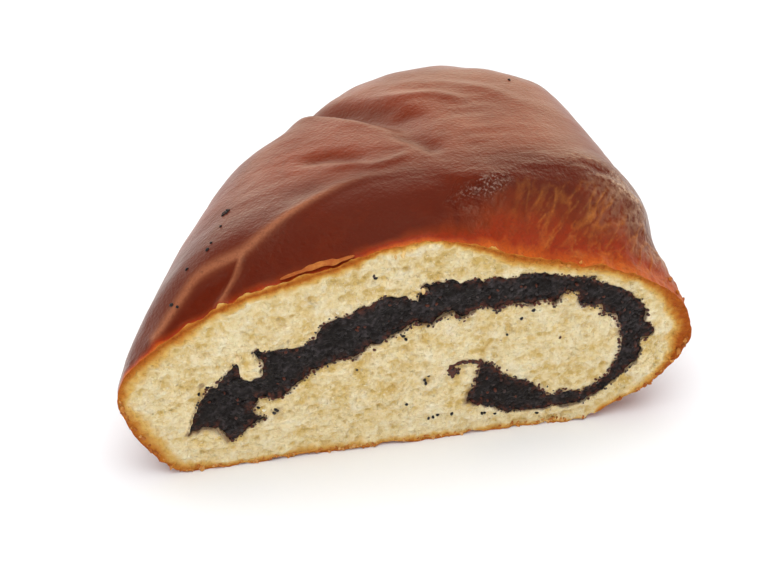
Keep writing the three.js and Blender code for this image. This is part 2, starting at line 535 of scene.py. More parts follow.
FILLING_INNER: Outline = (
    (10.4, 9.3), (11.5, 12.2), (12.1, 14.9), (12.3, 17.3), (13, 16.1), (14.2, 16), (15.7, 14.2),
    (17.8, 12.2), (20.8, 11.3), (22.3, 10), (25, 8), (25.3, 6.7), (27.3, 7.4), (32.1, 6.9), (35.3, 8.3),
    (37.1, 10.6), (38.7, 14.7), (39, 19.2), (38.6, 21.5), (37.4, 23.9), (34.8, 24.7), (34.7, 26.3),
    (32, 26.8), (30.5, 27.7), (30, 29.6), (27.9, 30.4), (26.1, 29.2), (25.6, 27.9), (24.6, 29.1),
    (20.6, 28.6), (15.9, 29.1), (14.9, 28), (11.8, 29.7), (8.6, 27), (6.3, 28.8), (2.8, 26.6),
    (0.1, 27.2), (-3, 25.6), (-6.3, 24), (-8.1, 23.9), (-10.5, 21.6), (-14.4, 21.3), (-18.2, 19.7),
    (-22.5, 16.4), (-25.4, 14.5), (-28.2, 15.3), (-29.9, 12.7), (-27.3, 10.5), (-30.6, 8.7), (-33, 6.2),
    (-34.2, 5.9), (-36, 9.4), (-38.6, 9.7),
)
# Where crushed seed has coloured the crumb: across, up and size.
SMEARS: tuple[tuple[float, float, float], ...] = (
    (-37.6, 19.2, 1.5), (-38.8, 17.4, 1.1), (-22.6, 27.4, 1.2), (-24.6, 26.8, 0.9), (7.3, 15.2, 1.0),
    (-25.3, 11.7, 0.9), (2.3, 14.1, 0.9), (-28.6, 13, 0.8),
)
# Where torn crumb stands out of the cut: across, up, size and height.
LUMPS: tuple[tuple[float, float, float, float], ...] = (
    (-29.7, 21.4, 1.9, 1.3), (-28.4, 12, 1.2, 0.9), (-1.5, 42.2, 2.2, 0.7), (29.5, 35.8, 2.5, 0.7),
    (-21.5, 27.6, 2.6, 0.6), (-12.5, 31.4, 1.8, 0.5), (28.2, 28, 1.4, 0.8), (-36.4, 6.4, 1.6, 0.7),
)


@dataclass(frozen=True)
class RollForm:
    """The roll's outside, from the same driving sizes as its CAD part, measured from the cut."""

    half_width: float = 53 * MM
    crest: float = 50.6 * MM
    depth: float = 83 * MM
    shoulder_left: float = 7 * MM
    shoulder_right: float = 13 * MM

    def across_share(self, across: Points) -> Points:
        """How far across the cut points lie, from 0 at the left tip to 1 at the right end."""
        return (across / self.half_width + 1) / 2

    def placed(self, across: Points, up: Points, depth: Points | float) -> Points:
        """Place points that are given as if at the cut at a depth behind it.

        Args:
            across: Their places across the cut.
            up: Their heights.
            depth: How far behind the cut they go.

        Returns:
            The points, one row each; the cut is the plane y = 0.
        """
        table = np.array(STATIONS).T
        stops = table[0] * MM
        deep = np.full(np.shape(across), depth)
        left, right, crest, keel = (through_values(deep, stops, row) for row in table[1:])
        lift = keel * MM
        x = blend(left * MM, right * MM, self.across_share(across))
        return np.stack([x, deep, lift + up * (crest - lift / self.crest)], axis=1)

    def ring(self, count: int, depth: float) -> Points:
        """One section of the roll at a depth behind the cut, as a closed ring of points.

        Args:
            count: How many points the ring gets.
            depth: How far behind the cut it lies.

        Returns:
            The points, one row each.
        """
        cut = smooth_curve(np.array(CUT_OUTLINE) * MM, count, closed=True)
        crown = smooth_curve(np.array(CROWN_OUTLINE) * MM, count, closed=True)
        shoulder = blend(self.shoulder_left, self.shoulder_right, self.across_share(cut[:, 0]))
        section = blend(cut, crown, smoothstep(depth, 0.0, shoulder)[:, None])
        ring = self.placed(section[:, 0], section[:, 1], max(depth, 0.0))
        ring[:, 1] = depth
        return ring


@dataclass(frozen=True)
class Mark:
    """A line drawn on the crust that is pressed in or raised.

    Its points are across and depth behind the cut, in millimetres. Its height is how far it stands out,
    or below zero how deep it is. Its width is how far it reaches to each side, and on the side away from
    the cut that is times behind. It fades over the given shares of its length at its two ends.
    """

    points: Outline
    height: float
    width: float
    fade: tuple[float, float] = (0.2, 0.2)
    behind: float = 1.0

    def reach(self, plan: Points) -> Points:
        """How strongly the line acts on points.

        Args:
            plan: The points, across and behind the cut.

        Returns:
            One number from 0 to 1 per point.
        """
        line = smooth_curve(np.array(self.points, float) * MM, 6 * len(self.points), closed=False)
        distance, share = near_line(plan, line)
        ends = smoothstep(share, 0.0, self.fade[0]) * (1 - smoothstep(share, 1 - self.fade[1], 1.0))
        nearest = np.stack([np.interp(share, np.linspace(0, 1, len(line)), line[:, k]) for k in (0, 1)], 1)
        width = np.where(plan[:, 1] > nearest[:, 1], self.width * self.behind, self.width)
        return ends * bell(distance, width * MM)


# The crust's folds and ridges, from the deepest to the finest.
MAIN_CREASE = Mark(((-40, 62), (-26, 56), (-13.5, 51.5), (-8.5, 48), (-5, 44), (-1.5, 39.5), (3, 33.5),
                    (6, 27.5), (8, 20)), -3.4, 2.2, (0.02, 0.45), behind=2.0)
CREASE_LIP = Mark(((-24, 52), (-13, 47), (-8, 44), (-4, 39.5), (0.5, 34), (3.5, 29)), 0.7, 2.4, (0.3, 0.4))
SHOULDER = Mark(((-47, 0.5), (-43, 2.2), (-39.2, 4), (-36.4, 5), (-29.2, 5.2), (-25.3, 6.6), (-18, 10.2),
                 (-8.6, 13.8), (0.6, 14.6), (5, 14.2)), 0.75, 1.15, (0.05, 0.35), behind=1.9)
BRANCH = Mark(((-29, 5.2), (-29.8, 3.6), (-32, 2), (-34.3, 0.4)), 0.55, 0.75, (0.05, 0.1))
RIGHT_BROW = Mark(((5, 13.6), (11, 10), (17.5, 8.8), (24, 8.6), (31.8, 9), (37, 8.6), (41, 7.4)),
                  1.0, 1.3, (0.3, 0.5), behind=2.2)
DENT = Mark(((-17.5, 24.4), (-14, 25.6), (-10, 25), (-6, 22), (-2.5, 20.6)),
            -0.8, 1.3, (0.35, 0.4), behind=1.7)
DENT_LIP = Mark(((-13, 22), (-7.5, 20.6), (-3.5, 18.2), (1.5, 19.4), (4.5, 21.5)), 0.45, 1.2, (0.3, 0.3))
HOLLOW = Mark(((0.5, 29), (4, 26), (7, 21.5), (8.6, 18)), -0.9, 1.2, (0.3, 0.35), behind=1.8)
FOLDS: tuple[Mark, ...] = (
    MAIN_CREASE, CREASE_LIP, SHOULDER, BRANCH, RIGHT_BROW, DENT, DENT_LIP, HOLLOW,
    Mark(((-6.5, 50), (-2.5, 46.4), (2.5, 42.6)), -0.35, 1.2, (0.3, 0.5)),
    Mark(((-1, 44), (2.5, 40.6), (6.6, 37.9)), -0.3, 1.1, (0.3, 0.5)),
    Mark(((4, 38), (7.6, 34.6), (11, 30.6)), -0.25, 1.3, (0.3, 0.5)),
    Mark(((-2, 48.4), (6.2, 43.6), (12, 42.4), (16, 39.6), (21, 35)), 0.5, 1.5, (0.3, 0.4)),
    Mark(((2, 52.5), (10, 48.6), (18, 46), (26, 40), (31, 32)), 0.35, 1.9, (0.3, 0.4)),
)
# Broad swellings and hollows of the dough under the crust.
SWELLS: tuple[Mark, ...] = (
    Mark(((-36, 51), (-27, 51), (-19, 49), (-12, 44.5)), -2.3, 5.5, (0.3, 0.35)),
    Mark(((27, 20), (36, 15.5), (42, 12), (47, 9.5)), 1.6, 6.5, (0.5, 0.3)),
    Mark(((-9, 58), (-1, 62), (7, 65), (16, 67)), 1.0, 8.0, (0.4, 0.4)),
    Mark(((18, 67), (26, 64.5), (34, 59), (40, 51)), -1.7, 7.0, (0.35, 0.35)),
)


@dataclass(frozen=True)
class Crust:
    """The baked outside: its folds, its blisters and how brown it is."""

    form: RollForm = field(default_factory=RollForm)
    lumps: Grain = Grain(11)
    skin: Grain = Grain(12)
    blisters: Grain = Grain(13)
    middle: tuple[float, float] = (4 * MM, 20 * MM)
    girth: float = 45 * MM
    # How wide the golden band above the cut is, at places across.
    band_places: tuple[float, ...] = (-53, -38, -20, -4, 6, 16, 28, 40, 53)
    band_widths: tuple[float, ...] = (1.4, 1.6, 2.4, 2.6, 4.6, 9.0, 10.0, 10.5, 10.5)
    # The brow's glinting patch and the flank's wrinkles, each along a line across and behind the cut.
    patch_line: Outline = ((4, 5.6), (10, 7.4), (17.5, 9.2))
    flank_line: Outline = ((24, 12), (33, 12), (39, 11), (44, 9), (49, 8))
    matt_spot: tuple[float, float] = (-11, 16.5)

    def around(self, places: Points) -> Points:
        """Run a length round the section from the right end over the top, from a point's direction."""
        turn = np.arctan2(places[:, 2] - self.middle[1], places[:, 0] - self.middle[0])
        return turn * self.girth

    def wall(self, places: Points) -> Points:
        """How much a point belongs to the blistered wall right of the middle, between cut and brow.

        Args:
            places: The points, measured from the cut.

        Returns:
            One number from 0 to 1 per point.
        """
        brow = blend(4 * MM, 9.5 * MM, smoothstep(places[:, 0], 4 * MM, 20 * MM))
        low = smoothstep(places[:, 2], 20 * MM, 27 * MM)
        right = smoothstep(places[:, 0], 8 * MM, 22 * MM)
        return low * right * (1 - smoothstep(places[:, 1], 0.75 * brow, 1.15 * brow))

    def flank(self, places: Points) -> Points:
        """How much a point belongs to the wrinkled band down the right flank, behind the wall."""
        distance, _ = near_line(places[:, :2], np.array(self.flank_line) * MM)
        return bell(distance, 4.5 * MM) * smoothstep(places[:, 2], 14 * MM, 26 * MM)

    def patch(self, places: Points) -> Points:
        """How much a point belongs to the rough, glinting patch on the brow.

        Args:
            places: The points, measured from the cut.

        Returns:
            One number from 0 to 1 per point.
        """
        distance, share = near_line(places[:, :2], np.array(self.patch_line) * MM)
        ragged = 1 + 0.6 * self.lumps.layered(places, 2.4 * MM, 2)
        width = blend(1.2, 1.9, share) * MM * ragged
        high = smoothstep(places[:, 2], 30 * MM, 40 * MM)
        return bell(distance, width) * smoothstep(share, -0.1, 0.8) * high

    def fray(self, places: Points) -> Points:
        """How far the base is torn up along the cut."""
        torn = np.maximum(self.skin.layered(places * np.array([1, 0, 0]), 2.1 * MM, 3), 0.0)
        return 1.3 * MM * torn * (1 - smoothstep(places[:, 1], 0.2 * MM, 2.6 * MM))

    def veins(self, places: Points) -> Points:
        """The net of thin raised veins between the wall's blisters, from 0 to 1.

        Args:
            places: The points, measured from the cut.

        Returns:
            One number per point.
        """
        slanted = places[:, 1] * 0.9 - places[:, 2] * 0.35
        skin = np.stack([self.around(places), slanted, 0 * slanted], 1)
        warp = [self.skin.layered(places + k, 3 * MM, 2) for k in (0, 0.1, 0)]
        skin = skin + 1.3 * MM * np.stack(warp, 1)
        nearest, second, mark = self.blisters.cells(skin, np.array([3.2, 4.2, 5]) * MM)
        coarse = (1 - smoothstep(second - nearest, 0.0, 0.17)) * blend(0.3, 1.0, mark)
        coarse = coarse * smoothstep(self.blisters.layered(places, 3.5 * MM, 2), -0.45, 0.25)
        nearest, second, mark = self.blisters.cells(skin + 0.05, np.array([1.9, 2.6, 2.5]) * MM)
        fine = (1 - smoothstep(second - nearest, 0.0, 0.14)) * (mark > 0.5)
        return np.clip(coarse + 0.35 * fine, 0, 1) * smoothstep(places[:, 0], 12 * MM, 32 * MM)

    def wrinkles(self, places: Points) -> Points:
        """Fine wrinkles that run across the roll, from about -1 to 1."""
        return self.skin.layered(places, np.array([9, 2.2, 5]) * MM, 3)

    def dough(self, places: Points) -> Points:
        """How far folds, swellings and lumps of the dough stand out at each point.

        Args:
            places: The points, measured from the cut.

        Returns:
            One number per point.
        """
        top = smoothstep(places[:, 2], 6 * MM, 20 * MM)
        height = sum(mark.height * MM * mark.reach(places[:, :2]) for mark in (*FOLDS, *SWELLS)) * top
        height += 0.45 * MM * self.lumps.smooth(places, 21 * MM)
        height += 0.16 * MM * self.lumps.layered(places, 7 * MM, 2)
        return height + (0.10 + 0.34 * self.flank(places)) * MM * self.wrinkles(places) * top

    def relief(self, places: Points) -> Points:
        """How far the crust stands out from the plain form at each point.

        Args:
            places: The points, measured from the cut.

        Returns:
            One number per point.
        """
        height = self.dough(places)
        height += 0.3 * MM * self.patch(places) * self.skin.smooth(places, 1.2 * MM)
        rim = 1 - smoothstep(np.abs(places[:, 1] - 0.4 * MM), 0.4 * MM, 1.8 * MM)
        height += 0.5 * MM * rim * self.skin.layered(places * np.array([1, 0, 1]), 2.0 * MM, 2)
        blisters = 0.32 * self.veins(places) + 0.45 * self.skin.layered(places, 4.2 * MM, 2)
        height += self.wall(places) * MM * blisters
        inset = smoothstep(places[:, 1], -1 * MM, 1.5 * MM)
        return height * smoothstep(places[:, 2], 0.2 * MM, 4 * MM) * blend(0.6, 1.0, inset)

    def browned(self, places: Points) -> Points:
        """How brown the crust is at each point, from 0 at the cut and the base to 1.

        Args:
            places: The points, measured from the cut.

        Returns:
            One number per point.
        """
        x, deep, up = places.T
        glow = through_values(x, np.array(self.band_places) * MM, np.array(self.band_widths) * MM)
        ragged = 1 + 0.35 * self.lumps.layered(places, 3.2 * MM)
        brown = smoothstep(deep, -0.5 * glow, glow * ragged) ** 1.3
        flank = smoothstep(up + 3 * MM * self.lumps.layered(places, 12 * MM, 3), 1 * MM, 21 * MM)
        behind = smoothstep(deep, 11 * MM, 26 * MM)
        brown = brown * blend(blend(0.4, 0.16, behind), 1.0, flank) * blend(1.0, 0.76, behind)
        brown = np.maximum(brown, 0.15 * (1 - smoothstep(x, -20 * MM, 4 * MM)))
        return brown + blend(0.05, 0.13, behind) * self.lumps.layered(places, 9 * MM)

    def paint(self, piece: bpy.types.Object, places: Points) -> None:
        """Store how brown and veined the crust is, and where shade and highlights are painted on it.

        Args:
            piece: The piece.
            places: Its corners, measured from the cut.
        """
        x, deep, up = places.T
        plan = places[:, :2]
        wall = self.wall(places)
        Bench.paint(piece, "brown", self.browned(places))
        # Painted shade: the crust is darkened along its pressed-in creases, dents and hollows, high on the
        # roll.
        fold_shade_share = sum(mark.reach(plan) * min(1.0, -mark.height) for mark in FOLDS if mark.height < 0)
        Bench.paint(piece, "fold_shade", fold_shade_share * smoothstep(up, 20 * MM, 34 * MM))
        # Painted highlight: a thin lighter tan line along the crests of the shoulder and branch ridges.
        lit_ridge_share = sum(mark.reach(plan) ** 4 for mark in (SHOULDER, BRANCH))
        Bench.paint(piece, "ridge_highlight", lit_ridge_share * smoothstep(up, 20 * MM, 30 * MM))
        Bench.paint(piece, "vein", self.veins(places) * wall)
        Bench.paint(piece, "wall", wall)
        # Besides roughness, this mask places the painted glints on the brow's patch.
        Bench.paint(piece, "rough", self.patch(places) + 0.35 * self.flank(places))
        # Painted highlight: the crests of the right flank's wrinkles are lightened into a sheen band.
        crests = smoothstep(self.wrinkles(places), -0.45, 0.5)
        Bench.paint(piece, "bloom_and_glare", crests * self.flank(places) * smoothstep(x, 28 * MM, 36 * MM))
        away = np.linalg.norm(plan - np.array(self.matt_spot) * MM, axis=1)
        Bench.paint(piece, "matt", bell(away, 6.5 * MM))
        streak = self.skin.layered(places, np.array([0.9, 5, 5]) * MM, 2) * smoothstep(x, -6 * MM, 10 * MM)
        Bench.paint(piece, "streak", streak * (1 - smoothstep(deep, 5 * MM, 10 * MM)))


@dataclass(frozen=True)
class CrumbFace:
    """The torn crumb that the knife has left, as a height over the plane of the cut."""

    form: RollForm = field(default_factory=RollForm)
    grain: Grain = Grain(21)
    pores: Grain = Grain(22)
    # Each row: the pores' size in millimetres, how deep they are, and how many of the places have one.
    pore_sizes: tuple[tuple[float, float, float], ...] = (
        (4.2, 1.0, 0.24), (2.2, 0.62, 0.45), (1.15, 0.36, 0.6))

    def pits(self, flat: Points) -> Points:
        """How deep the pores are at points of the cut, from 0 to 1.

        Args:
            flat: Points of the cut.

        Returns:
            One number per point.
        """
        bent = flat + MM * np.stack([self.grain.layered(flat + k, 2.2 * MM, 2) for k in (0, 0.1, 0.2)], 1)
        total = np.zeros(len(flat))
        for size, depth, share in self.pore_sizes:
            stretch = np.array([1.2, 1, 0.95]) * size * MM
            nearest, _, mark = self.pores.cells(bent + size, stretch)
            radius = 0.62 * np.clip(mark / share, 0, 1)
            open_pore = (mark < share) * (1 - smoothstep(nearest, 0.25 * radius, radius + 1e-6))
            total = np.maximum(total, depth * open_pore)
        return total

    def tufts(self, flat: Points) -> Points:
        """Torn, streaky tufts of crumb, from about -1 in a hollow to 1 on top of a tuft.

        Args:
            flat: Points of the cut.

        Returns:
            One number per point.
        """
        lumps = self.grain.layered(flat, np.array([3.4, 3, 2.5]) * MM, 2)
        folds = 1 - 2.6 * np.abs(self.grain.layered(flat + 0.3, np.array([2.1, 1, 1.7]) * MM, 2))
        fine = self.grain.layered(flat + 0.6, np.array([1.1, 1, 0.95]) * MM, 2)
        return 0.45 * lumps + 0.3 * folds + 0.6 * fine

    def relief(self, flat: Points) -> Points:
        """How far the crumb lies behind the plane of the cut at its points.

        Args:
            flat: Points of the cut.

        Returns:
            One number per point.
        """
        firm = smoothstep(self.edge_share(flat), 0.1, 1.0)
        deep = 0.35 * MM * self.grain.smooth(flat, 17 * MM)
        deep += blend(0.45, 1.0, firm) * MM * (0.6 * (0.3 - self.tufts(flat)) + 0.75 * self.pits(flat))
        deep += 0.14 * MM * self.pores.smooth(flat, 0.8 * MM)
        for x, up, size, height in LUMPS:
            away = np.linalg.norm(flat[:, [0, 2]] - np.array([x, up]) * MM, axis=1)
            deep -= height * MM * bell(away, size * MM)
        return deep

    def edge_share(self, flat: Points) -> Points:
        """How far in from the crust points of the cut lie, from 0 at the crust to 1 in pale crumb.

        Args:
            flat: Points of the cut.

        Returns:
            One number per point.
        """
        ring = self.form.ring(360, 0.0)
        ring = np.vstack([ring, ring[:1]])[:, [0, 2]]
        ring[:, 1] = np.maximum(ring[:, 1], 0.0)
        distance, _ = near_line(flat[:, [0, 2]], ring)
        x, _, up = flat.T
        right = smoothstep(x, 42 * MM, 50 * MM)
        left = 1 - smoothstep(x, -50 * MM, -36 * MM)
        low = 1 - smoothstep(up, 2 * MM, 9 * MM)
        corner = low * smoothstep(x, 12 * MM, 30 * MM)
        thick = blend(blend(blend(blend(2.3, 2.1, low), 5.0, right), 4.2, left), 1.3, corner) * MM
        uneven = 1 + 0.55 * self.grain.smooth(flat + 0.2, 13 * MM)
        uneven += 0.5 * self.grain.layered(flat + 0.7, 3 * MM)
        uneven += 0.35 * self.grain.layered(flat + 0.9, 1.1 * MM, 2)
        baked = smoothstep(x, 45 * MM, 51 * MM) * smoothstep(up, 7 * MM, 12 * MM)
        return distance / (thick * np.maximum(uneven, 0.25)) - 0.4 * baked

    def paint(self, piece: bpy.types.Object, places: Points, filling: Points) -> None:
        """Store where the cut is golden, pitted and stained by the filling.

        Args:
            piece: The bread.
            places: Its vertices, measured from the cut.
            filling: The outline of the filling on the cut, as a closed ring.
        """
        flat = places * np.array([1, 0, 1])
        Bench.paint(piece, "pale", self.edge_share(flat))
        # The pits' depth and the tufts' height drive painted shade in hollows and painted highlights on
        # tufts.
        Bench.paint(piece, "pit", self.pits(flat))
        Bench.paint(piece, "tuft", 0.5 + 0.5 * self.tufts(flat))
        distance, share = near_line(flat[:, [0, 2]], np.vstack([filling, filling[:1]])[:, [0, 2]])
        inner = smoothstep(share, 0.50, 0.53)
        ragged = blend(0.35, 0.95, inner) * MM * (0.5 + 0.5 * self.grain.layered(flat + 0.9, 1.6 * MM))
        stain = bell(distance, np.maximum(ragged, 0.12 * MM))
        for x, up, size in SMEARS:
            away = np.linalg.norm(flat[:, [0, 2]] - np.array([x, up]) * MM, axis=1)
            patchy = smoothstep(self.grain.layered(flat + 0.4, 1.1 * MM), -0.1, 0.4)
            stain += 0.9 * bell(away, size * MM) * patchy
        Bench.paint(piece, "stain", np.clip(stain, 0, 1))


@dataclass(frozen=True)
class FillingForm:
    """The rolled-up filling: a ragged band on the cut, run in behind it."""

    form: RollForm = field(default_factory=RollForm)
    grain: Grain = Grain(31)
    clumps: Grain = Grain(32)
    reach: float = 60 * MM
    step: float = 0.24 * MM
    hollow: tuple[float, float] = (-33.5, 14.5)
    # Each row: the size of the filling's clumps or grains in millimetres, and how far they stand out.
    grains: tuple[tuple[float, float], ...] = ((2.3, 0.5), (0.85, 0.34), (0.5, 0.14))

    def edge(self) -> tuple[Points, Points]:
        """The band's edge on the cut, across and up, and the way out of the band at each point.

        Returns:
            The edge's points and its outward directions, one row each.
        """
        corners = np.array((*FILLING_OUTER, *FILLING_INNER, FILLING_OUTER[0])) * MM
        ring = evenly(corners, self.step)[:-1]
        run = np.roll(ring, -2, axis=0) - np.roll(ring, 2, axis=0)
        return ring, np.stack([-run[:, 1], run[:, 0]], 1) / np.linalg.norm(run, axis=1)[:, None]

    def beside(self, chance: np.random.Generator, low: float, high: float, count: int,
               spread: float) -> Points:
        """Choose places just outside the band, across and up in millimetres.

        Args:
            chance: What chooses them.
            low: The share of the edge to start at.
            high: The share of the edge to end at.
            count: How many to choose.
            spread: How far out they go.

        Returns:
            The places, one row each.
        """
        ring, out = self.edge()
        picks = chance.integers(int(low * len(ring)), int(high * len(ring)), count)
        away = np.abs(chance.normal(0, spread, count)) - 0.15 * spread
        return (ring[picks] + out[picks] * away[:, None]) / MM

    def outline(self, margin: float) -> Points:
        """The band's ragged outline on the cut.

        Args:
            margin: How far it is moved out.

        Returns:
            The ring of points, one row each, with y = 0; the last is not the first again.
        """
        ring, out = self.edge()
        flat = np.stack([ring[:, 0], 0 * ring[:, 0], ring[:, 1]], 1)
        ragged = 0.34 * self.grain.layered(flat, 1.5 * MM, 2) + 0.22 * self.grain.smooth(flat + 1, 0.62 * MM)
        ring = ring + out * (ragged * MM + margin)[:, None]
        return np.stack([ring[:, 0], 0 * ring[:, 0], ring[:, 1]], 1)

    def rings(self, margin: float, front: float) -> list[Points]:
        """The band's outline at each depth, from in front of the cut to the filling's inner end.

        Args:
            margin: How far the outline is moved outwards.
            front: How far it starts behind the cut, below 0 in front of it.

        Returns:
            The outlines, from front to back.
        """
        outline = self.outline(margin)
        rings = []
        for depth in (front, 2 * MM, self.reach / 3, 2 * self.reach / 3, self.reach + margin):
            ring = self.form.placed(outline[:, 0], outline[:, 2], max(depth, 0.0))
            ring[:, 1] = depth
            rings.append(ring)
        return rings

    def relief(self, flat: Points) -> Points:
        """How far the filling's grains lie behind the plane of the cut.

        Args:
            flat: Points of the cut.

        Returns:
            One number per point.
        """
        deep = 0.30 * MM + 0.55 * MM * self.grain.layered(flat + 0.4, 4.5 * MM, 2)
        away = np.linalg.norm(flat[:, [0, 2]] - np.array(self.hollow) * MM, axis=1)
        deep += 1.2 * MM * bell(away, 3.6 * MM)
        for size, height in self.grains:
            nearest, second, _ = self.clumps.cells(flat + size, np.array([size, size, size]) * MM)
            deep += height * MM * (np.clip(nearest, 0, 1) - 0.45 * smoothstep(second - nearest, 0, 0.25))
        return deep


BLADE = 9 * MM      # how thick the block is that a cut is made with


def knife(name: str, relief: Callable[[Points], Points], spacing: float, low: Vector, high: Vector,
          front: float) -> bpy.types.Object:
    """Make a block whose back face carries a relief, to cut a piece with.

    Args:
        name: The block's name.
        relief: How far behind the plane of the cut each point of the face lies.
        spacing: How close together the face's points are.
        low: The lowest corner that the face must cover.
        high: The highest corner that it must cover.
        front: Where the plane of the cut is, along Y.

    Returns:
        The closed block in front of the cut.
    """
    width, height = high.x - low.x, high.z - low.z
    Bench.clear()
    bpy.ops.mesh.primitive_grid_add(
        x_subdivisions=round(width / spacing), y_subdivisions=round(height / spacing), size=1,
        location=((low.x + high.x) / 2, front, (low.z + high.z) / 2), rotation=(math.pi / 2, 0, 0))
    bpy.context.object.scale = (width, height, 1)
    block = Bench.named(name)
    bpy.ops.object.mode_set(mode="EDIT")
    bpy.ops.mesh.select_all(action="SELECT")
    bpy.ops.mesh.extrude_region_move(TRANSFORM_OT_translate={"value": (0, -BLADE, 0)})
    bpy.ops.mesh.select_all(action="SELECT")
    bpy.ops.mesh.normals_make_consistent(inside=False)
    bpy.ops.object.mode_set(mode="OBJECT")
    places = Bench.places(block)
    face = places[:, 1] > front - 1 * MM
    flat = places[face] * np.array([1, 0, 1])
    places[face, 1] = front + relief(flat)
    Bench.move(block, places)
    return block


# ---------------------------------------------------------------------------------------------------
# Finishes
# ---------------------------------------------------------------------------------------------------

class Slot(Enum):
    """The record's material slots."""

    BREAD = "bread"
    FILLING = "poppy_seed_filling"


class Value:
    """An output socket that Python arithmetic works on: each operation adds a Math node."""

    def __init__(self, graph: "Graph", socket: bpy.types.NodeSocket) -> None:
        """Wrap a socket of a graph's node."""
        self.graph, self.socket = graph, socket

    def out(self, name: str) -> "Value":
        """Another output of the same node."""
        return Value(self.graph, self.socket.node.outputs[name])

    def _math(self, operation: str, first: "Value | float", second: "Value | float") -> "Value":
        """Add a Math node for an operation on two values."""
        return self.graph.node("Math", {"operation": operation}, {0: first, 1: second})

    def __add__(self, other: "Value | float") -> "Value":
        """Sum."""
        return self._math("ADD", self, other)

    def __sub__(self, other: "Value | float") -> "Value":
        """Difference."""
        return self._math("SUBTRACT", self, other)

    def __rsub__(self, other: float) -> "Value":
        """Difference from a number."""
        return self._math("SUBTRACT", other, self)

    def __mul__(self, other: "Value | float") -> "Value":
        """Product."""
        return self._math("MULTIPLY", self, other)

    __radd__ = __add__
    __rmul__ = __mul__


class Graph:
    """A node tree under construction."""

    def __init__(self, tree: bpy.types.NodeTree) -> None:
        """Start on an empty tree.

        Args:
            tree: The tree.
        """
        self.tree = tree
        tree.nodes.clear()
        self.place = self.node("TexCoord").out("Object")

    def node(self, kind: str, settings: dict[str, object] | None = None,
             inputs: dict[str | int, object] | None = None) -> Value:
        """Add a node.

        Args:
            kind: The node's type, without its ShaderNode prefix.
            settings: Its settings, such as an operation; stops are a ramp's places and colours.
            inputs: Values or links for its sockets, by name or number.

        Returns:
            The node's first output, or its own wrapper when it has none.
        """
        node = self.tree.nodes.new("ShaderNode" + kind)
        for key, setting in (settings or {}).items():
            if key == "stops":
                self._set_stops(node.color_ramp, setting)
            else:
                setattr(node, key, setting)
        for key, value in (inputs or {}).items():
            if isinstance(value, Value):
                self.tree.links.new(value.socket, node.inputs[key])
            else:
                node.inputs[key].default_value = value
        return Value(self, node.outputs[0]) if node.outputs else Value(self, node.inputs[0])

    @staticmethod
    def _set_stops(ramp: bpy.types.ColorRamp, stops: list[tuple[float, tuple[float, ...]]]) -> None:
        """Give a colour ramp its stops.

        Args:
            ramp: The colour ramp.
            stops: Each stop's place and colour.
        """
        while len(ramp.elements) < len(stops):
            ramp.elements.new(1.0)
        for element, (place, colour) in zip(ramp.elements, stops):
            element.position = place
            element.color = (*colour, 1.0)

    def painted(self, name: str) -> Value:
        """A number that is stored on the piece's vertices."""
        return self.node("Attribute", {"attribute_name": name}).out("Fac")

    def noise(self, scale: float, detail: float = 3.0, distortion: float = 0.0) -> Value:
        """Noise from 0 to 1 on the piece's own coordinates, with so many waves per metre."""
        return self.node("TexNoise", None, {"Vector": self.place, "Scale": scale, "Detail": detail,
                                            "Distortion": distortion}).out("Fac")

    def cells(self, scale: float) -> Value:
        """Distance from scattered cells' middles, with so many cells per metre."""
        return self.node("TexVoronoi", None, {"Vector": self.place, "Scale": scale}).out("Distance")

    def ramp(self, value: Value, *stops: tuple[float, tuple[float, ...]]) -> Value:
        """A colour ramp over a value."""
        return self.node("ValToRGB", {"stops": list(stops)}, {"Fac": value})

    def fit(self, value: Value, low: float, high: float, to_low: float = 0.0, to_high: float = 1.0) -> Value:
        """Carry a value smoothly from one range to another.

        Args:
            value: The value.
            low: Where the range it comes from starts.
            high: Where that range ends.
            to_low: Where the new range starts.
            to_high: Where the new range ends.

        Returns:
            The new value, kept inside the new range.
        """
        return self.node("MapRange", {"interpolation_type": "SMOOTHSTEP"},
                         {"Value": value, "From Min": low, "From Max": high,
                          "To Min": to_low, "To Max": to_high})

    def mix(self, share: Value | float, first: object, second: object, how: str = "MIX") -> Value:
        """Mix two colours, each a link or a plain colour.

        Args:
            share: How much of the second colour there is, from 0 to 1.
            first: The first colour.
            second: The second colour.
            how: The way of mixing.

        Returns:
            The mixed colour.
        """
        both = {6: first, 7: second}
        both = {k: v if isinstance(v, Value) else (*v, 1.0) for k, v in both.items()}
        node = self.node("Mix", {"data_type": "RGBA", "blend_type": how}, {0: share, **both})
        return Value(self, node.socket.node.outputs[2])

    def bump(self, height: Value, depth: float, strength: float = 1.0, under: Value | None = None) -> Value:
        """A bump of a height field whose full range is a depth, over another bump if there is one."""
        inputs = {"Height": height, "Distance": depth, "Strength": strength}
        return self.node("Bump", None, inputs | ({"Normal": under} if under else {}))


def principled(name: str, build: Callable[[Graph], dict[str, object]]) -> bpy.types.Material:
    """Make a material from one Principled shader.

    Args:
        name: The material's name.
        build: Gives the shader's sockets their values or links on the material's graph.

    Returns:
        The material.
    """
    material = bpy.data.materials.new(name)
    material.use_nodes = True
    graph = Graph(material.node_tree)
    shader = graph.node("BsdfPrincipled", None, build(graph))
    graph.node("OutputMaterial", None, {"Surface": shader})
    return material


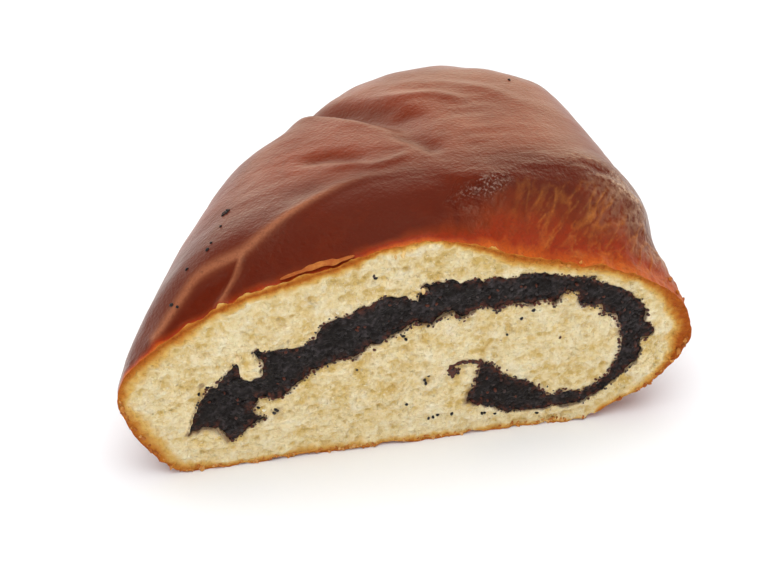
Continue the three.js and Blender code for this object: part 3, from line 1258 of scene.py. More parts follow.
@dataclass(frozen=True)
class GlazedCrust:
    """Egg-washed crust, baked from gold at the cut to mahogany on top."""

    golden: Colour = (0.60, 0.22, 0.035)
    orange: Colour = (0.48, 0.078, 0.003)
    red_brown: Colour = (0.27, 0.018, 0.001)
    chestnut: Colour = (0.19, 0.020, 0.002)
    mahogany: Colour = (0.10, 0.008, 0.002)
    # Painted shade for the creases, and a painted highlight for the ridge crests.
    crease_shade: Colour = (0.085, 0.014, 0.006)
    lit_ridge_tan: Colour = (0.42, 0.15, 0.07)
    gold_vein: Colour = (0.60, 0.21, 0.030)
    dark_speck: Colour = (0.09, 0.016, 0.007)
    black_speck: Colour = (0.06, 0.012, 0.006)
    # Painted highlight on the right flank's wrinkle crests.
    crest_glare: Colour = (0.54, 0.33, 0.20)
    scorched: Colour = (0.055, 0.016, 0.010)
    # Painted glints on the brow's patch.
    glint_tan: Colour = (0.42, 0.28, 0.23)
    sheen: tuple[float, ...] = (1.0, 0.68, 0.34, 1.0)
    gloss: tuple[float, ...] = (1.0, 0.78, 0.55, 1.0)

    def baked(self, graph: Graph) -> Value:
        """The colour from gold to mahogany, with painted shade in its creases, painted ridge highlights and
        veins.

        Args:
            graph: The material's nodes.

        Returns:
            The link that carries it.
        """
        shade = graph.painted("brown") + (graph.noise(90, 4) - 0.5) * 0.25
        shade = shade + (graph.noise(700, 3) - 0.5) * 0.14 + graph.painted("streak") * 0.13
        colour = graph.ramp(shade, (0.0, self.golden), (0.16, self.orange), (0.42, self.red_brown),
                            (0.7, self.chestnut), (1.0, self.mahogany))
        # Painted shade darkens the creases; a painted highlight lightens the ridge crests.
        colour = graph.mix(graph.painted("fold_shade") * 0.6, colour, self.crease_shade)
        colour = graph.mix(graph.painted("ridge_highlight") * 0.65, colour, self.lit_ridge_tan)
        return graph.mix(graph.painted("vein") * 0.5, colour, self.gold_vein)

    def speckled(self, graph: Graph, colour: Value) -> Value:
        """The colour with dark specks, painted highlights on wrinkle crests, and the brow's scorched patch
        with painted glints.

        Args:
            graph: The material's nodes.
            colour: The baked colour.

        Returns:
            The link that carries it.
        """
        coarse = graph.painted("rough")
        # Painted highlight on the flank's wrinkle crests, and painted glints in the brow's patch.
        bloom_and_glare = graph.painted("bloom_and_glare") * graph.fit(graph.noise(1100, 3), 0.3, 0.62)
        painted_glints = graph.fit(coarse, 0.15, 1.0) * graph.fit(graph.noise(2300, 3), 0.48, 0.76)
        for share, over in (
            (graph.fit(graph.noise(2400, 3), 0.45, 0.7) * 0.3, self.dark_speck),
            (graph.fit(graph.noise(1500, 2), 0.62, 0.75) * 0.3, self.black_speck),
            (bloom_and_glare * 0.5, self.crest_glare),
            (coarse * graph.noise(1200, 3) * 0.8, self.scorched),
            (painted_glints * 0.62, self.glint_tan),
        ):
            colour = graph.mix(share, colour, over)
        return colour

    def skin(self, graph: Graph) -> Value:
        """The glaze's fine, dimpled surface, coarser on the patch.

        Args:
            graph: The material's nodes.

        Returns:
            The link that carries it.
        """
        skin = graph.bump(graph.noise(1500, 4), 0.00017, 0.8)
        skin = graph.bump(graph.noise(1500, 3) * graph.painted("rough"), 0.00026, 0.8, skin)
        return graph.bump(graph.noise(420, 3), 0.00022, 0.5, skin)

    def dullness(self, graph: Graph) -> Value:
        """The roughness: glossy on top, duller on the wall and the golden base.

        Args:
            graph: The material's nodes.

        Returns:
            The link that carries it.
        """
        rough = graph.fit(graph.noise(90, 4), 0.3, 0.7, 0.3, 0.41)
        rough = rough + graph.painted("wall") * 0.2 - graph.painted("rough") * 0.24
        return rough + graph.painted("matt") * 0.2 + graph.fit(graph.painted("brown"), 0.5, 0.1) * 0.14

    def sockets(self, graph: Graph) -> dict[str, object]:
        """The shader's sockets.

        Args:
            graph: The material's nodes.

        Returns:
            The sockets' values and links, by name.
        """
        return {"Base Color": self.speckled(graph, self.baked(graph)), "Roughness": self.dullness(graph),
                "IOR": 1.42, "Normal": self.skin(graph), "Specular Tint": self.gloss,
                "Sheen Weight": 0.08, "Sheen Roughness": 0.4, "Sheen Tint": self.sheen}


@dataclass(frozen=True)
class SoftCrumb:
    """Pale, soft crumb that turns golden towards the crust and purple beside the filling."""

    cream: Colour = (0.94, 0.79, 0.48)
    # Straw also paints shade into the hollows and pores; fluff also paints a highlight onto the tufts' tops.
    straw_and_hollow_shade: Colour = (0.70, 0.46, 0.11)
    fluff_and_tuft_highlight: Colour = (0.97, 0.89, 0.69)
    speck: Colour = (0.70, 0.49, 0.19)
    rim: Colour = (0.41, 0.088, 0.008)
    toasted: Colour = (0.58, 0.21, 0.026)
    golden: Colour = (0.78, 0.48, 0.13)
    stained: Colour = (0.15, 0.055, 0.033)

    def torn(self, graph: Graph) -> Value:
        """The crumb's colour: painted shade in hollows and pores, painted highlights on tufts, mottled all
        over.

        Args:
            graph: The material's nodes.

        Returns:
            The link that carries it.
        """
        pit, tuft = graph.painted("pit"), graph.painted("tuft")
        # Painted shade: the crumb turns darker and yellower in pores and in the hollows between tufts.
        hollow = graph.fit(tuft, 0.6, 0.22) * 0.7 + pit * 0.6
        mottle = graph.fit(graph.noise(210, 3, distortion=0.6), 0.4, 0.68) * 0.35
        mottle = mottle + graph.fit(graph.noise(950, 4), 0.46, 0.66) * 0.3
        crumb = graph.mix(hollow + mottle, self.cream, self.straw_and_hollow_shade)
        # Painted highlight: the tops of the tufts are lightened.
        crumb = graph.mix(graph.fit(tuft, 0.6, 0.85) * graph.noise(1400, 3), crumb, self.fluff_and_tuft_highlight)
        crumb = graph.mix(graph.fit(graph.noise(1900, 4), 0.52, 0.7) * 0.3, crumb, self.speck)
        return graph.mix(graph.fit(graph.noise(1650, 4), 0.54, 0.72) * 0.55, crumb, self.fluff_and_tuft_highlight)

    def sockets(self, graph: Graph) -> dict[str, object]:
        """The shader's sockets.

        Args:
            graph: The material's nodes.

        Returns:
            The sockets' values and links, by name.
        """
        pale = graph.painted("pale")
        rim = graph.ramp(pale + (graph.noise(800, 3) - 0.5) * 0.3, (0.0, self.rim), (0.2, self.toasted),
                         (0.5, self.golden), (1.0, self.cream))
        colour = graph.mix(graph.fit(pale, 0.55, 1.15), rim, self.torn(graph))
        colour = graph.mix(graph.painted("stain") * 0.75, colour, self.stained)
        crumbly = graph.bump(graph.noise(2300, 5), 0.0007, 1.0)
        crumbly = graph.bump(graph.cells(1300), 0.0004, 0.8, crumbly)
        return {"Base Color": colour, "Roughness": 0.88, "Normal": crumbly, "Specular IOR Level": 0.2,
                "Subsurface Weight": 0.1, "Subsurface Radius": (1.0, 0.62, 0.3),
                "Subsurface Scale": 0.8 * MM}


@dataclass(frozen=True)
class SeedPaste:
    """Ground poppy seed, nearly black with a bluish bloom, and brown where it meets the dough."""

    black: Colour = (0.009, 0.006, 0.005)
    bloom: Colour = (0.052, 0.042, 0.044)
    brown: Colour = (0.090, 0.024, 0.013)

    def sockets(self, graph: Graph) -> dict[str, object]:
        """The shader's sockets.

        Args:
            graph: The material's nodes.

        Returns:
            The sockets' values and links, by name.
        """
        edge = graph.painted("edge")
        # In the paste this share only spreads the seeds' own bluish bloom at random.
        bloom_and_glare = graph.fit(graph.noise(900, 4), 0.42, 0.72) * graph.fit(graph.noise(260, 3), 0.35, 0.65)
        colour = graph.mix(bloom_and_glare, self.black, self.bloom)
        colour = graph.mix(edge * graph.fit(graph.noise(1100, 3), 0.4, 0.65), colour, self.brown)
        grainy = graph.bump(graph.cells(1700), 0.00025, 0.9)
        grainy = graph.bump(graph.noise(3600, 3), 0.0001, 0.7, grainy)
        return {"Base Color": colour, "Roughness": 0.62, "Normal": grainy, "Specular IOR Level": 0.28}


@dataclass(frozen=True)
class DrySeed:
    """A poppy seed's dull, bluish-black skin, lighter on some seeds and brown on others."""

    black: Colour = (0.009, 0.006, 0.006)
    slate: Colour = (0.020, 0.017, 0.017)
    grey: Colour = (0.060, 0.050, 0.049)
    brown: Colour = (0.13, 0.033, 0.016)
    dust: Colour = (0.02, 0.015, 0.014)

    def sockets(self, graph: Graph) -> dict[str, object]:
        """The shader's sockets.

        Args:
            graph: The material's nodes.

        Returns:
            The sockets' values and links, by name.
        """
        colour = graph.ramp(graph.painted("tone"), (0.0, self.black), (0.55, self.slate),
                            (0.85, self.grey), (0.93, self.brown))
        colour = graph.mix(graph.noise(4000, 2) * 0.5, colour, self.dust)
        netted = graph.bump(graph.cells(6000), 0.00005, 0.8)
        return {"Base Color": colour, "Roughness": 0.55, "Normal": netted, "Specular IOR Level": 0.3}


@dataclass(frozen=True)
class LooseCrumb:
    """Torn bits, from orange crust to pale crumb."""

    crust: Colour = (0.36, 0.085, 0.014)
    orange: Colour = (0.60, 0.24, 0.045)
    golden: Colour = (0.80, 0.56, 0.24)
    pale: Colour = (0.93, 0.86, 0.66)

    def sockets(self, graph: Graph) -> dict[str, object]:
        """The shader's sockets.

        Args:
            graph: The material's nodes.

        Returns:
            The sockets' values and links, by name.
        """
        tone = graph.painted("tone") + (graph.noise(1100, 3) - 0.5) * 0.35
        colour = graph.ramp(tone, (0.0, self.crust), (0.3, self.orange), (0.6, self.golden),
                            (0.9, self.pale))
        torn = graph.bump(graph.noise(2600, 3), 0.00018, 0.8)
        return {"Base Color": colour, "Roughness": 0.75, "Normal": torn, "Specular IOR Level": 0.3}


@dataclass(frozen=True)
class Sweep:
    """The studio's pale floor."""

    white: Colour = (0.925, 0.935, 0.955)
    cloud: Colour = (0.90, 0.91, 0.93)

    def sockets(self, graph: Graph) -> dict[str, object]:
        """The shader's sockets."""
        colour = graph.mix(graph.noise(3, 2) * 0.1, self.white, self.cloud)
        return {"Base Color": colour, "Roughness": 0.9, "Specular IOR Level": 0.0}


# ---------------------------------------------------------------------------------------------------
# Pieces
# ---------------------------------------------------------------------------------------------------

FRONT = -3 * MM      # how far blanks reach in front of the cut before the knife takes that off


@dataclass
class Place:
    """Sets finished pieces into the frame: they are made with the cut at y = 0."""

    cut: float

    def settle(self, piece: bpy.types.Object, slot: Slot, *nodes: str) -> None:
        """Move a piece from the cut into the frame, hang it on the root body and hide the parts it stands
        for.

        Args:
            piece: The piece.
            slot: What it is made of; not used.
            nodes: The parts of the frame it stands for.
        """
        Bench.move(piece, Bench.places(piece) + np.array([0, self.cut, 0]))
        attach(piece, ROOT)
        if nodes:
            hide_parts(*nodes)
        LOG.info("%s: %d faces", piece.name, len(piece.data.polygons))


@dataclass
class Bread:
    """The half loaf of dough, with its crust outside and its crumb on the cut."""

    form: RollForm = field(default_factory=RollForm)
    crust: Crust = field(default_factory=Crust)
    crumb: CrumbFace = field(default_factory=CrumbFace)
    filling: FillingForm = field(default_factory=FillingForm)
    around: int = 44
    # The blade's face: how fine its grid is, and the corners that it spans on the cut.
    grid: float = 0.36 * MM
    face_low: tuple[float, float, float] = (-56, 0, -2)
    face_high: tuple[float, float, float] = (56, 0, 49)
    # The blistered wall has finer faces: it ends this far behind the cut and starts this high.
    wall_depth: float = 13 * MM
    wall_foot: float = 24 * MM
    depths: tuple[float, ...] = (0, 3, 7, 12, 17, 22, 28, 34, 41, 48, 55, 62, 69, 75, 79.5, 82.3, 83)

    def body(self) -> bpy.types.Object:
        """The uncut dough: a smooth loft with its crust sculpted and its base pressed flat.

        Returns:
            The dough.
        """
        rings = [self.form.ring(self.around, depth) for depth in (FRONT, *np.array(self.depths) * MM)]
        piece = Bench.loft("bread", rings)
        Bench.finish(piece, "SUBSURF", levels=3, render_levels=3)
        x, deep, up = Bench.face_middles(piece).T
        Bench.select_faces(piece, (x > 0) & (deep < self.wall_depth) & (up > self.wall_foot))
        bpy.ops.mesh.subdivide(number_cuts=1)
        Bench.clear()
        places = Bench.places(piece)
        places[:, 2] = np.maximum(places[:, 2], 0.0)
        low = places[:, 2] < 1 * MM
        places[low, 2] += self.crust.fray(places[low])
        Bench.move(piece, places)
        places += Bench.normals(piece) * self.crust.relief(places)[:, None]
        Bench.move(piece, places)
        return piece

    def build(self) -> bpy.types.Object:
        """Cut the dough open, rout the filling's channel into it and paint it.

        Returns:
            The finished bread.
        """
        piece = self.body()
        crust = principled("glazed_crust", GlazedCrust().sockets)
        crumb = principled("soft_crumb", SoftCrumb().sockets)
        blade = knife("crumb_blade", self.crumb.relief, self.grid, Vector(self.face_low) * MM,
                      Vector(self.face_high) * MM, 0.0)
        channel = Bench.loft("channel", self.filling.rings(0.05 * MM, FRONT))
        for item in (piece, blade, channel):
            for material in (crust, crumb, crumb):
                item.data.materials.append(material)
        Bench.face_slots(blade, 1)
        Bench.face_slots(channel, 2)
        Bench.cut(piece, blade)
        Bench.cut(piece, channel)
        Bench.mend(piece)
        self.soften(piece)
        places = Bench.places(piece)
        self.crust.paint(piece, places)
        self.crumb.paint(piece, places, self.filling.outline(0.0))
        return piece

    @staticmethod
    def soften(piece: bpy.types.Object) -> None:
        """Shade the piece smooth, but keep the edge between crust and crumb crisp.

        Args:
            piece: The piece.
        """
        slots = np.empty(len(piece.data.polygons), np.int32)
        piece.data.polygons.foreach_get("material_index", slots)
        Bench.select_faces(piece, slots == 1)
        bpy.ops.mesh.region_to_loop()
        bpy.ops.mesh.mark_sharp()
        Bench.take(piece)
        bpy.ops.object.shade_smooth()


@dataclass
class Filling:
    """The band of ground poppy seed."""

    form: FillingForm = field(default_factory=FillingForm)
    # The blade's face: how fine its grid is, and the corners that it spans on the cut.
    grid: float = 0.28 * MM
    face_low: tuple[float, float, float] = (-46, 0, 2)
    face_high: tuple[float, float, float] = (49, 0, 38)

    def build(self) -> bpy.types.Object:
        """The band itself, with its cut face broken up into grains.

        Returns:
            The finished band.
        """
        piece = Bench.loft("poppy_seed_filling", self.form.rings(0.0, FRONT))
        blade = knife("seed_blade", self.form.relief, self.grid, Vector(self.face_low) * MM,
                      Vector(self.face_high) * MM, 0.0)
        for item in (piece, blade):
            item.data.materials.append(principled("seed_paste", SeedPaste().sockets))
        Bench.cut(piece, blade)
        Bench.mend(piece)
        Bench.take(piece)
        bpy.ops.object.shade_smooth()
        places = Bench.places(piece)
        outline = self.form.outline(0.0)
        distance, _ = near_line(places[:, [0, 2]], np.vstack([outline, outline[:1]])[:, [0, 2]])
        Bench.paint(piece, "edge", bell(distance, 0.9 * MM))
        return piece


class Surface:
    """Finds places on a finished piece, which is still measured from the cut."""

    def __init__(self, piece: bpy.types.Object) -> None:
        """Index the piece's faces."""
        mesh = piece.data
        self.tree = BVHTree.FromPolygons([v.co for v in mesh.vertices], [p.vertices for p in mesh.polygons])

    def from_above(self, across: float, depth: float) -> tuple[Vector, Vector]:
        """The place on the crust at a place across and behind the cut in millimetres, and its normal."""
        place, normal, _, _ = self.tree.ray_cast(Vector((across, depth, 80)) * MM, Vector((0, 0, -1)))
        return place, normal

    def from_front(self, across: float, up: float) -> tuple[Vector, Vector]:
        """The place on the cut at a place across and up in millimetres, and its normal."""
        place, normal, _, _ = self.tree.ray_cast(Vector((across, -20, up)) * MM, Vector((0, 1, 0)))
        return place, normal


# Whole seeds that lie loose, across and up on the cut or across and behind it on the crust.
SEEDS_ON_CUT: Outline = (
    (-7.2, 38.4), (-6.9, 38.0), (-2, 24.8), (-1.5, 24), (27.2, 20.1), (17.1, 22.4), (19.6, 25.6),
    (-10.4, 18.4), (-1.3, 9.2), (2, 14.2), (2.8, 14.9), (2.2, 13.5), (2.9, 5.1), (3.7, 5.5),
    (4.6, 5.6), (7.3, 5.4), (13.6, 4.7), (13.1, 4.6), (15.6, 4.2), (23.8, 3.1), (-25.3, 12),
    (-25.6, 11.2), (-25, 11.6), (-28.4, 13.1), (7.3, 15.9), (7.9, 15), (7.4, 14.9), (8.4, 14.7),
    (7.9, 15.6), (8.3, 17), (9.1, 17.2), (9.9, 17.1), (11, 17), (-7.2, 22.6), (2.6, 26.2),
    (21.7, 27.2), (-37, 18.9), (-38.6, 17.4),
)
SEEDS_ON_CRUST: Outline = (
    (-30.4, 18.7), (-30, 19.2), (-30.8, 18.2), (-30.7, 18.9), (-30.2, 18.3), (-29.7, 18.8), (-29.9, 18.5),
    (-30.5, 18.4), (-34.5, 9), (-33.7, 10.3), (-31.6, 14.2), (-38.3, 7.9), (-41.6, 4.1), (-40.7, 3.1),
    (29.1, 47.5),
)
# A stray thread of filling at its inner end, and the clump it ends in.
STRAY_ARC: Outline = ((12.3, 17), (10.6, 17.2), (9, 17.2), (7.8, 16.9), (6.8, 16.3), (6.6, 15.6))
STRAY_CLUMP: tuple[float, float] = (7.4, 15.2)


@dataclass
class Seeds:
    """Poppy seeds, strewn over a surface or laid at given places."""

    name: str
    length: float = 0.86 * MM
    seed: int = 41
    tones: tuple[float, float] = (0.0, 1.0)
    breadth: float = 0.74
    thickness: float = 0.66
    bend: float = 0.22

    def model(self) -> bpy.types.Object:
        """One kidney-shaped seed around the origin, lying along X.

        Returns:
            The seed.
        """
        Bench.clear()
        bpy.ops.mesh.primitive_uv_sphere_add(segments=6, ring_count=4, radius=self.length / 2,
                                             rotation=(0, math.pi / 2, 0))
        piece = Bench.named("seed")
        places = Bench.places(piece)
        half = self.length / 2
        places[:, 1] *= self.breadth
        places[:, 2] = places[:, 2] * self.thickness + self.bend * half * (1 - (places[:, 0] / half) ** 2)
        Bench.move(piece, places)
        bpy.ops.object.shade_smooth()
        return piece

    def lying(self, place: Vector, normal: Vector, chance: np.random.Generator, sink: float) -> Matrix:
        """Lay a seed on a surface, turned by chance.

        Args:
            place: Where it lies.
            normal: The way out of the surface there.
            chance: The random numbers to draw from.
            sink: How far it is sunk in, as a share of its length.

        Returns:
            The seed's place, turn and size.
        """
        turn = normal.to_track_quat("Z", "X") @ Euler((chance.normal(0, 0.35), chance.normal(0, 0.35),
                                                       chance.uniform(0, math.tau))).to_quaternion()
        size = chance.uniform(0.78, 1.12)
        return Matrix.LocRotScale(place - normal * sink * self.length, turn, Vector((size, size, size)))

    def strewn(self, piece: bpy.types.Object, count: int) -> list[Matrix]:
        """Choose places on the faces of a piece that look out of the cut.

        A cut may leave its faces in any order, so they are sorted by place before chance picks from them.

        Args:
            piece: The piece they lie on.
            count: How many there are.

        Returns:
            Their places.
        """
        chance = np.random.default_rng(self.seed)
        faces = [face for face in piece.data.polygons if face.normal.y < -0.25]
        faces.sort(key=lambda face: [round(part / MM, 4) for part in face.center])
        area = np.array([face.area for face in faces])
        picks = chance.choice(len(faces), count, p=area / area.sum())
        return [self.lying(faces[i].center, faces[i].normal.lerp(Vector((0, -1, 0)), 0.4), chance,
                           chance.uniform(0.05, 0.3)) for i in picks]

    def loose(self, bread: Surface) -> list[Matrix]:
        """Lay single seeds on the cut and on the crust.

        Args:
            bread: What they lie on.

        Returns:
            Their places.
        """
        chance = np.random.default_rng(self.seed + 2)
        spots = [bread.from_front(*spot) for spot in SEEDS_ON_CUT]
        spots += [bread.from_above(*spot) for spot in SEEDS_ON_CRUST]
        return [self.lying(place, normal, chance, 0.05) for place, normal in spots]

    def fringe(self, bread: Surface, form: FillingForm, inner: int, outer: int) -> list[Matrix]:
        """Lay crushed seeds on the crumb along the filling.

        Args:
            bread: What they lie on.
            form: The filling.
            inner: How many lie along its inner edge.
            outer: How many lie along its outer edge.

        Returns:
            Their places.
        """
        chance = np.random.default_rng(self.seed + 3)
        thread = evenly(np.array(STRAY_ARC), 0.16)
        spots = np.vstack([form.beside(chance, 0.53, 0.97, inner, 0.36 * MM),
                           form.beside(chance, 0.02, 0.5, outer, 0.18 * MM),
                           thread + chance.normal(0, 0.12, thread.shape),
                           np.array(STRAY_CLUMP) + chance.normal(0, 0.42, (60, 2))])
        found = (bread.from_front(*spot) for spot in spots)
        return [self.lying(place, normal, chance, 0.1) for place, normal in found if place is not None]

    def build(self, places: list[Matrix]) -> bpy.types.Object:
        """Make one piece of seeds at places, each with its own tone.

        Args:
            places: Where the seeds lie.

        Returns:
            The finished piece.
        """
        model = self.model()
        corners = len(model.data.vertices)
        piece = Bench.scatter(self.name, model, places)
        tones = blend(*self.tones, np.random.default_rng(self.seed + 1).random(len(places)) ** 1.4)
        Bench.paint(piece, "tone", np.repeat(tones, corners))
        piece.data.materials.append(principled("dry_seed", DrySeed().sockets))
        return piece


# Torn bits on the cut: across, up, size, and how pale from crust to crumb.
BITS_ON_CUT: tuple[tuple[float, float, float, float], ...] = (
    (-2.2, 42.6, 1.5, 0.6), (-0.6, 42.8, 1.1, 0.55), (-3.6, 42.2, 0.9, 0.5), (-13.6, 31.6, 1.0, 0.9),
    (1.4, 34.3, 1.1, 0.6), (-29.4, 21.2, 1.2, 0.9), (-28.6, 22.4, 1.0, 0.8), (-28.9, 11.9, 1.0, 0.9),
    (-27.5, 12.4, 0.8, 0.9), (48.4, 28.0, 1.0, 0.05), (49.4, 26.2, 1.1, 0.1), (50.6, 24.6, 0.9, 0.0),
    (26, 36.5, 1.0, 0.22), (27.4, 36.3, 1.2, 0.3), (28.8, 35.7, 1.0, 0.2), (30.2, 35.8, 1.1, 0.34),
    (31.4, 35.1, 0.9, 0.25), (32.6, 35, 0.9, 0.2), (29.6, 36.5, 0.8, 0.2), (-31.4, 24.4, 0.9, 0.7),
    (-24.6, 27.2, 0.7, 0.8), (32.4, 26.2, 0.8, 0.6), (-16.4, 28.9, 0.7, 0.9),
)


@dataclass
class Crumbs:
    """Torn bits of crumb and crust that stick out along the edges of the cut."""

    seed: int = 51
    along_base: int = 150
    along_ends: int = 60

    def ragged_edge(self, chance: np.random.Generator) -> list[tuple[float, float, float, float]]:
        """Choose bits along the base and round the two lower corners of the cut.

        Args:
            chance: The random numbers to draw from.

        Returns:
            Each bit's place across and up, its size and how pale it is.
        """
        rows = [(across, chance.uniform(0.2, 1.0), chance.uniform(0.3, 0.85), chance.uniform(0.1, 0.5))
                for across in chance.uniform(-44, 42, self.along_base)]
        ring = RollForm().ring(360, 0.0)[:, [0, 2]] / MM
        lower = ring[(ring[:, 1] > 0.5) & (ring[:, 1] < 20) & (np.abs(ring[:, 0]) > 40)]
        for across, up in lower[chance.integers(0, len(lower), self.along_ends)]:
            inset = chance.uniform(0.975, 0.995)
            rows.append((across * inset, up, chance.uniform(0.4, 1.1), chance.uniform(0, 0.38)))
        return rows

    def model(self) -> bpy.types.Object:
        """One ragged bit, a millimetre across, around the origin.

        Returns:
            The bit.
        """
        Bench.clear()
        bpy.ops.mesh.primitive_ico_sphere_add(subdivisions=2, radius=0.5 * MM)
        piece = Bench.named("crumb")
        places = Bench.places(piece)
        lumps = Grain(52).layered(places, 0.45 * MM, 2)[:, None]
        Bench.move(piece, places * (1 + 1.1 * lumps) * np.array([1.1, 0.7, 0.65]))
        bpy.ops.object.shade_smooth()
        return piece

    def build(self, bread: Surface) -> bpy.types.Object:
        """Make one piece of all the bits.

        Args:
            bread: What they stick to.

        Returns:
            The finished piece.
        """
        chance = np.random.default_rng(self.seed)
        places, tones = [], []
        for across, up, size, pale in (*BITS_ON_CUT, *self.ragged_edge(chance)):
            place, _ = bread.from_front(across, up)
            if place is None:
                continue
            turn = Euler(chance.uniform(0, math.tau, 3)).to_quaternion()
            scale = Vector(chance.uniform(0.75, 1.3, 3)) * size
            place = Vector((place.x, max(place.y, -0.3 * MM), max(place.z, 0.4 * size * MM)))
            places.append(Matrix.LocRotScale(place, turn, scale))
            tones.append(pale)
        model = self.model()
        corners = len(model.data.vertices)
        piece = Bench.scatter("crumbs", model, places)
        Bench.paint(piece, "tone", np.repeat(tones, corners))
        piece.data.materials.append(principled("loose_crumb", LooseCrumb().sockets))
        return piece


@dataclass
class Flake:
    """A thin strip of crust that has come loose along the upper edge of the cut."""

    path: Outline = ((-23.2, 0.5), (-20, 0.8), (-16.6, 0.9), (-13.4, 0.8), (-10.4, 0.5))
    width: float = 1.3 * MM
    rim: float = 1.3
    runs: int = 48
    grain: Grain = Grain(61)

    def laid(self, bread: Surface, line: Points, along: float, side: float) -> Vector:
        """Find where a point of the flat strip goes.

        Args:
            bread: What the strip lies on.
            line: The strip's path, across and behind the cut in millimetres.
            along: How far along the strip the point is, from -0.5 to 0.5.
            side: How far across it the point is, from -0.5 to 0.5.

        Returns:
            Its place, just off the crust, with the edge nearer the cut lifted.
        """
        share = along + 0.5
        x, deep = line[round(share * self.runs)]
        ragged = 1 + 0.8 * self.grain.layered(np.array([[x * MM, side * 9 * MM, 0]]), 1.4 * MM)[0]
        taper = math.sqrt(max(0.0, 1 - abs(2 * share - 1) ** 3))
        back = deep + side * taper * ragged * self.width / MM
        place, normal = bread.from_above(x, max(back, self.rim))
        hang = Vector((0, back - max(back, self.rim), 0)) * MM
        lift = 0.1 + 0.2 * max(0.0, -side) * taper * ragged
        return place + hang + normal * lift * MM

    def build(self, bread: Surface) -> bpy.types.Object:
        """Lay a strip along its path on the crust, with ragged sides and a lifted edge.

        Args:
            bread: What it lies on.

        Returns:
            The finished strip.
        """
        line = smooth_curve(np.array(self.path), self.runs + 1, closed=False)
        Bench.clear()
        bpy.ops.mesh.primitive_grid_add(x_subdivisions=self.runs, y_subdivisions=5, size=1)
        piece = Bench.named("crust_flake")
        places = [self.laid(bread, line, along, side) for along, side, _ in Bench.places(piece)]
        Bench.move(piece, np.array(places))
        Bench.finish(piece, "SOLIDIFY", thickness=0.22 * MM, offset=0)
        Bench.finish(piece, "SUBSURF", levels=1, render_levels=1)
        bpy.ops.object.shade_smooth()
        Bench.paint(piece, "tone", 0.02 + 0.2 * self.grain.layered(Bench.places(piece), 1.5 * MM))
        piece.data.materials.append(principled("flaked_crust", LooseCrumb().sockets))
        return piece


# ---------------------------------------------------------------------------------------------------
# Studio
# ---------------------------------------------------------------------------------------------------

class Lights(Enum):
    """What a lamp lights: matt surfaces, or only the glaze that mirrors it."""

    MATT = "matt surfaces"
    GLAZE = "the glaze"


@dataclass(frozen=True)
class Lamp:
    """A square soft light that looks at the roll, out of the camera's sight.

    Its size is its side in metres, its energy its power in watts, and its place is in metres too.
    """

    name: str
    size: float
    energy: float
    place: tuple[float, float, float]
    lights: Lights
    colour: Colour = (1.0, 1.0, 1.0)

    def hang(self) -> None:
        """Hang the light."""
        Bench.clear()
        place = Vector(self.place)
        aim = (Vector((0, 0, 20 * MM)) - place).to_track_quat("-Z", "Y").to_euler()
        bpy.ops.object.light_add(type="AREA", location=place, rotation=aim)
        lamp = bpy.context.object
        lamp.name = self.name
        lamp.data.size = self.size
        lamp.data.energy = self.energy
        lamp.data.color = self.colour
        lamp.visible_camera = False
        lamp.visible_glossy = self.lights is Lights.GLAZE
        lamp.visible_diffuse = self.lights is Lights.MATT


LAMPS: tuple[Lamp, ...] = (
    Lamp("ceiling", 3.6, 42.0, (0, 0, 2.4), Lights.MATT),
    Lamp("overhead", 0.9, 4.8, (0, -0.1, 0.8), Lights.MATT),
    Lamp("front_fill", 0.6, 2.6, (-0.1, -0.9, 0.25), Lights.MATT),
    Lamp("glint", 0.05, 0.4, (0.161, -0.4, 0.446), Lights.GLAZE),
    Lamp("low_card", 0.45, 1.0, (-0.14, 1.1, 0.12), Lights.GLAZE, (1.0, 0.86, 0.62)),
    Lamp("side_card", 0.5, 3.0, (0.95, 0.35, 0.14), Lights.GLAZE, (1.0, 0.88, 0.66)),
    Lamp("back_card", 0.75, 1.55, (0.41, 1.02, 0.34), Lights.GLAZE, (1.0, 0.82, 0.42)),
)


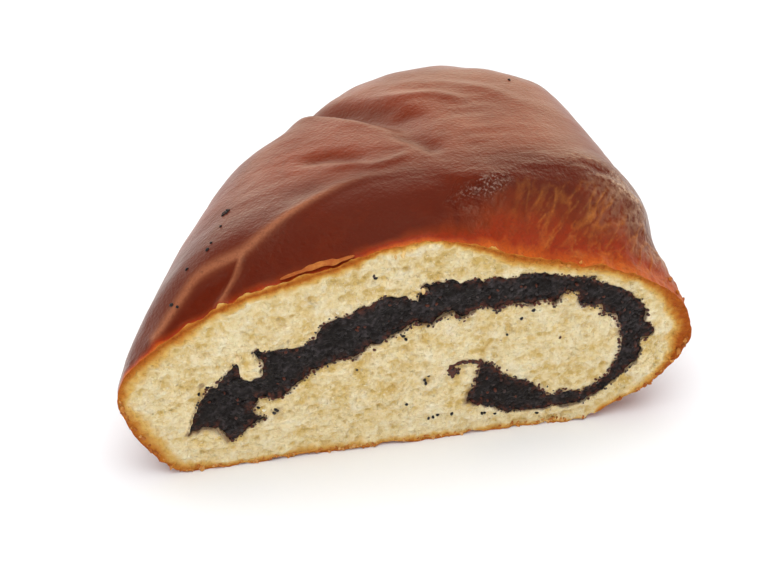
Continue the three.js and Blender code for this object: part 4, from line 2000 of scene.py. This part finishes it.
@dataclass
class Studio:
    """A pale floor, soft light from all round and a camera on the cut."""

    azimuth: float = math.radians(-11.4)
    elevation: float = math.radians(35)
    lens: float = 65.0
    distance: float = 286 * MM
    target: tuple[float, float, float] = (2.6 * MM, -6.5 * MM, 9.8 * MM)
    floor_size: float = 6.0
    dark_tilt: float = math.radians(60)
    daylight: Colour = (1.0, 0.965, 0.905)

    def floor(self) -> None:
        """Lay the floor."""
        Bench.clear()
        bpy.ops.mesh.primitive_plane_add(size=self.floor_size)
        floor = Bench.named("floor")
        floor.data.materials.append(principled("pale_floor", Sweep().sockets))

    def camera(self) -> None:
        """Set up the camera."""
        level = math.cos(self.elevation)
        back = Vector((math.sin(self.azimuth) * level, -math.cos(self.azimuth) * level,
                       math.sin(self.elevation)))
        Bench.clear()
        bpy.ops.object.camera_add(location=Vector(self.target) + back * self.distance,
                                  rotation=(-back).to_track_quat("-Z", "Y").to_euler())
        camera = bpy.context.object
        camera.data.lens = self.lens
        camera.data.clip_start = 0.01
        bpy.context.scene.camera = camera

    def sky(self) -> None:
        """Light the scene from all round, brightly from the sides and dimly from straight above."""
        world = bpy.data.worlds.new("studio")
        world.use_nodes = True
        bpy.context.scene.world = world
        graph = Graph(world.node_tree)
        direction = graph.place.out("Generated")
        tilt = (0, -math.cos(self.dark_tilt), math.sin(self.dark_tilt))
        near_dark = graph.node("VectorMath", {"operation": "DOT_PRODUCT"}, {0: direction, 1: tilt})
        bright = graph.fit(near_dark.out("Value"), 0.66, 0.0)
        horizon = graph.fit(graph.node("SeparateXYZ", None, {0: direction}).out("Z"), 0.17, 0.03)
        strength = bright * 1.2 + (1 - bright) * horizon * 0.9 + 0.01
        light = graph.node("Background", None, {"Color": (*self.daylight, 1.0), "Strength": strength})
        graph.node("OutputWorld", None, {"Surface": light})

    def build(self) -> None:
        """Set up the floor, the lights and the camera."""
        self.floor()
        self.sky()
        for lamp in LAMPS:
            lamp.hang()
        self.camera()
        bpy.context.scene.view_settings.view_transform = "Standard"


def small_pieces(surface: Surface, filling: bpy.types.Object) -> list[tuple[bpy.types.Object, Slot]]:
    """Make the seeds, crumbs and flake that lie on the roll.

    Args:
        surface: The bread they lie on.
        filling: The band that the whole seeds stick in.

    Returns:
        Each piece and what it is made of.
    """
    band = FillingForm()
    whole = Seeds("poppy_seeds")
    loose = Seeds("loose_seeds", seed=45)
    crushed = Seeds("crushed_seeds", 0.48 * MM, 47, (0.75, 1.0))
    husks = Seeds("seed_husks", 0.85 * MM, 49, (0.88, 1.0))
    return [
        (whole.build(whole.strewn(filling, 1500)), Slot.FILLING),
        (loose.build(loose.loose(surface)), Slot.FILLING),
        (crushed.build(crushed.fringe(surface, band, 520, 200)), Slot.FILLING),
        (husks.build(husks.fringe(surface, band, 130, 40)), Slot.FILLING),
        (Crumbs().build(surface), Slot.BREAD),
        (Flake().build(surface), Slot.BREAD),
    ]


def main() -> None:
    """Build the roll and its studio."""
    logging.basicConfig(level=logging.INFO, format="%(name)s: %(message)s")
    low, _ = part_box("bread")
    table = Place(low[1])
    bread = Bread().build()
    filling = Filling().build()
    small = small_pieces(Surface(bread), filling)
    table.settle(bread, Slot.BREAD, "bread")
    table.settle(filling, Slot.FILLING, "poppy_seed_filling")
    for piece, slot in small:
        table.settle(piece, slot)
    Studio().build()


if __name__ == "__main__":
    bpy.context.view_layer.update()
    main()
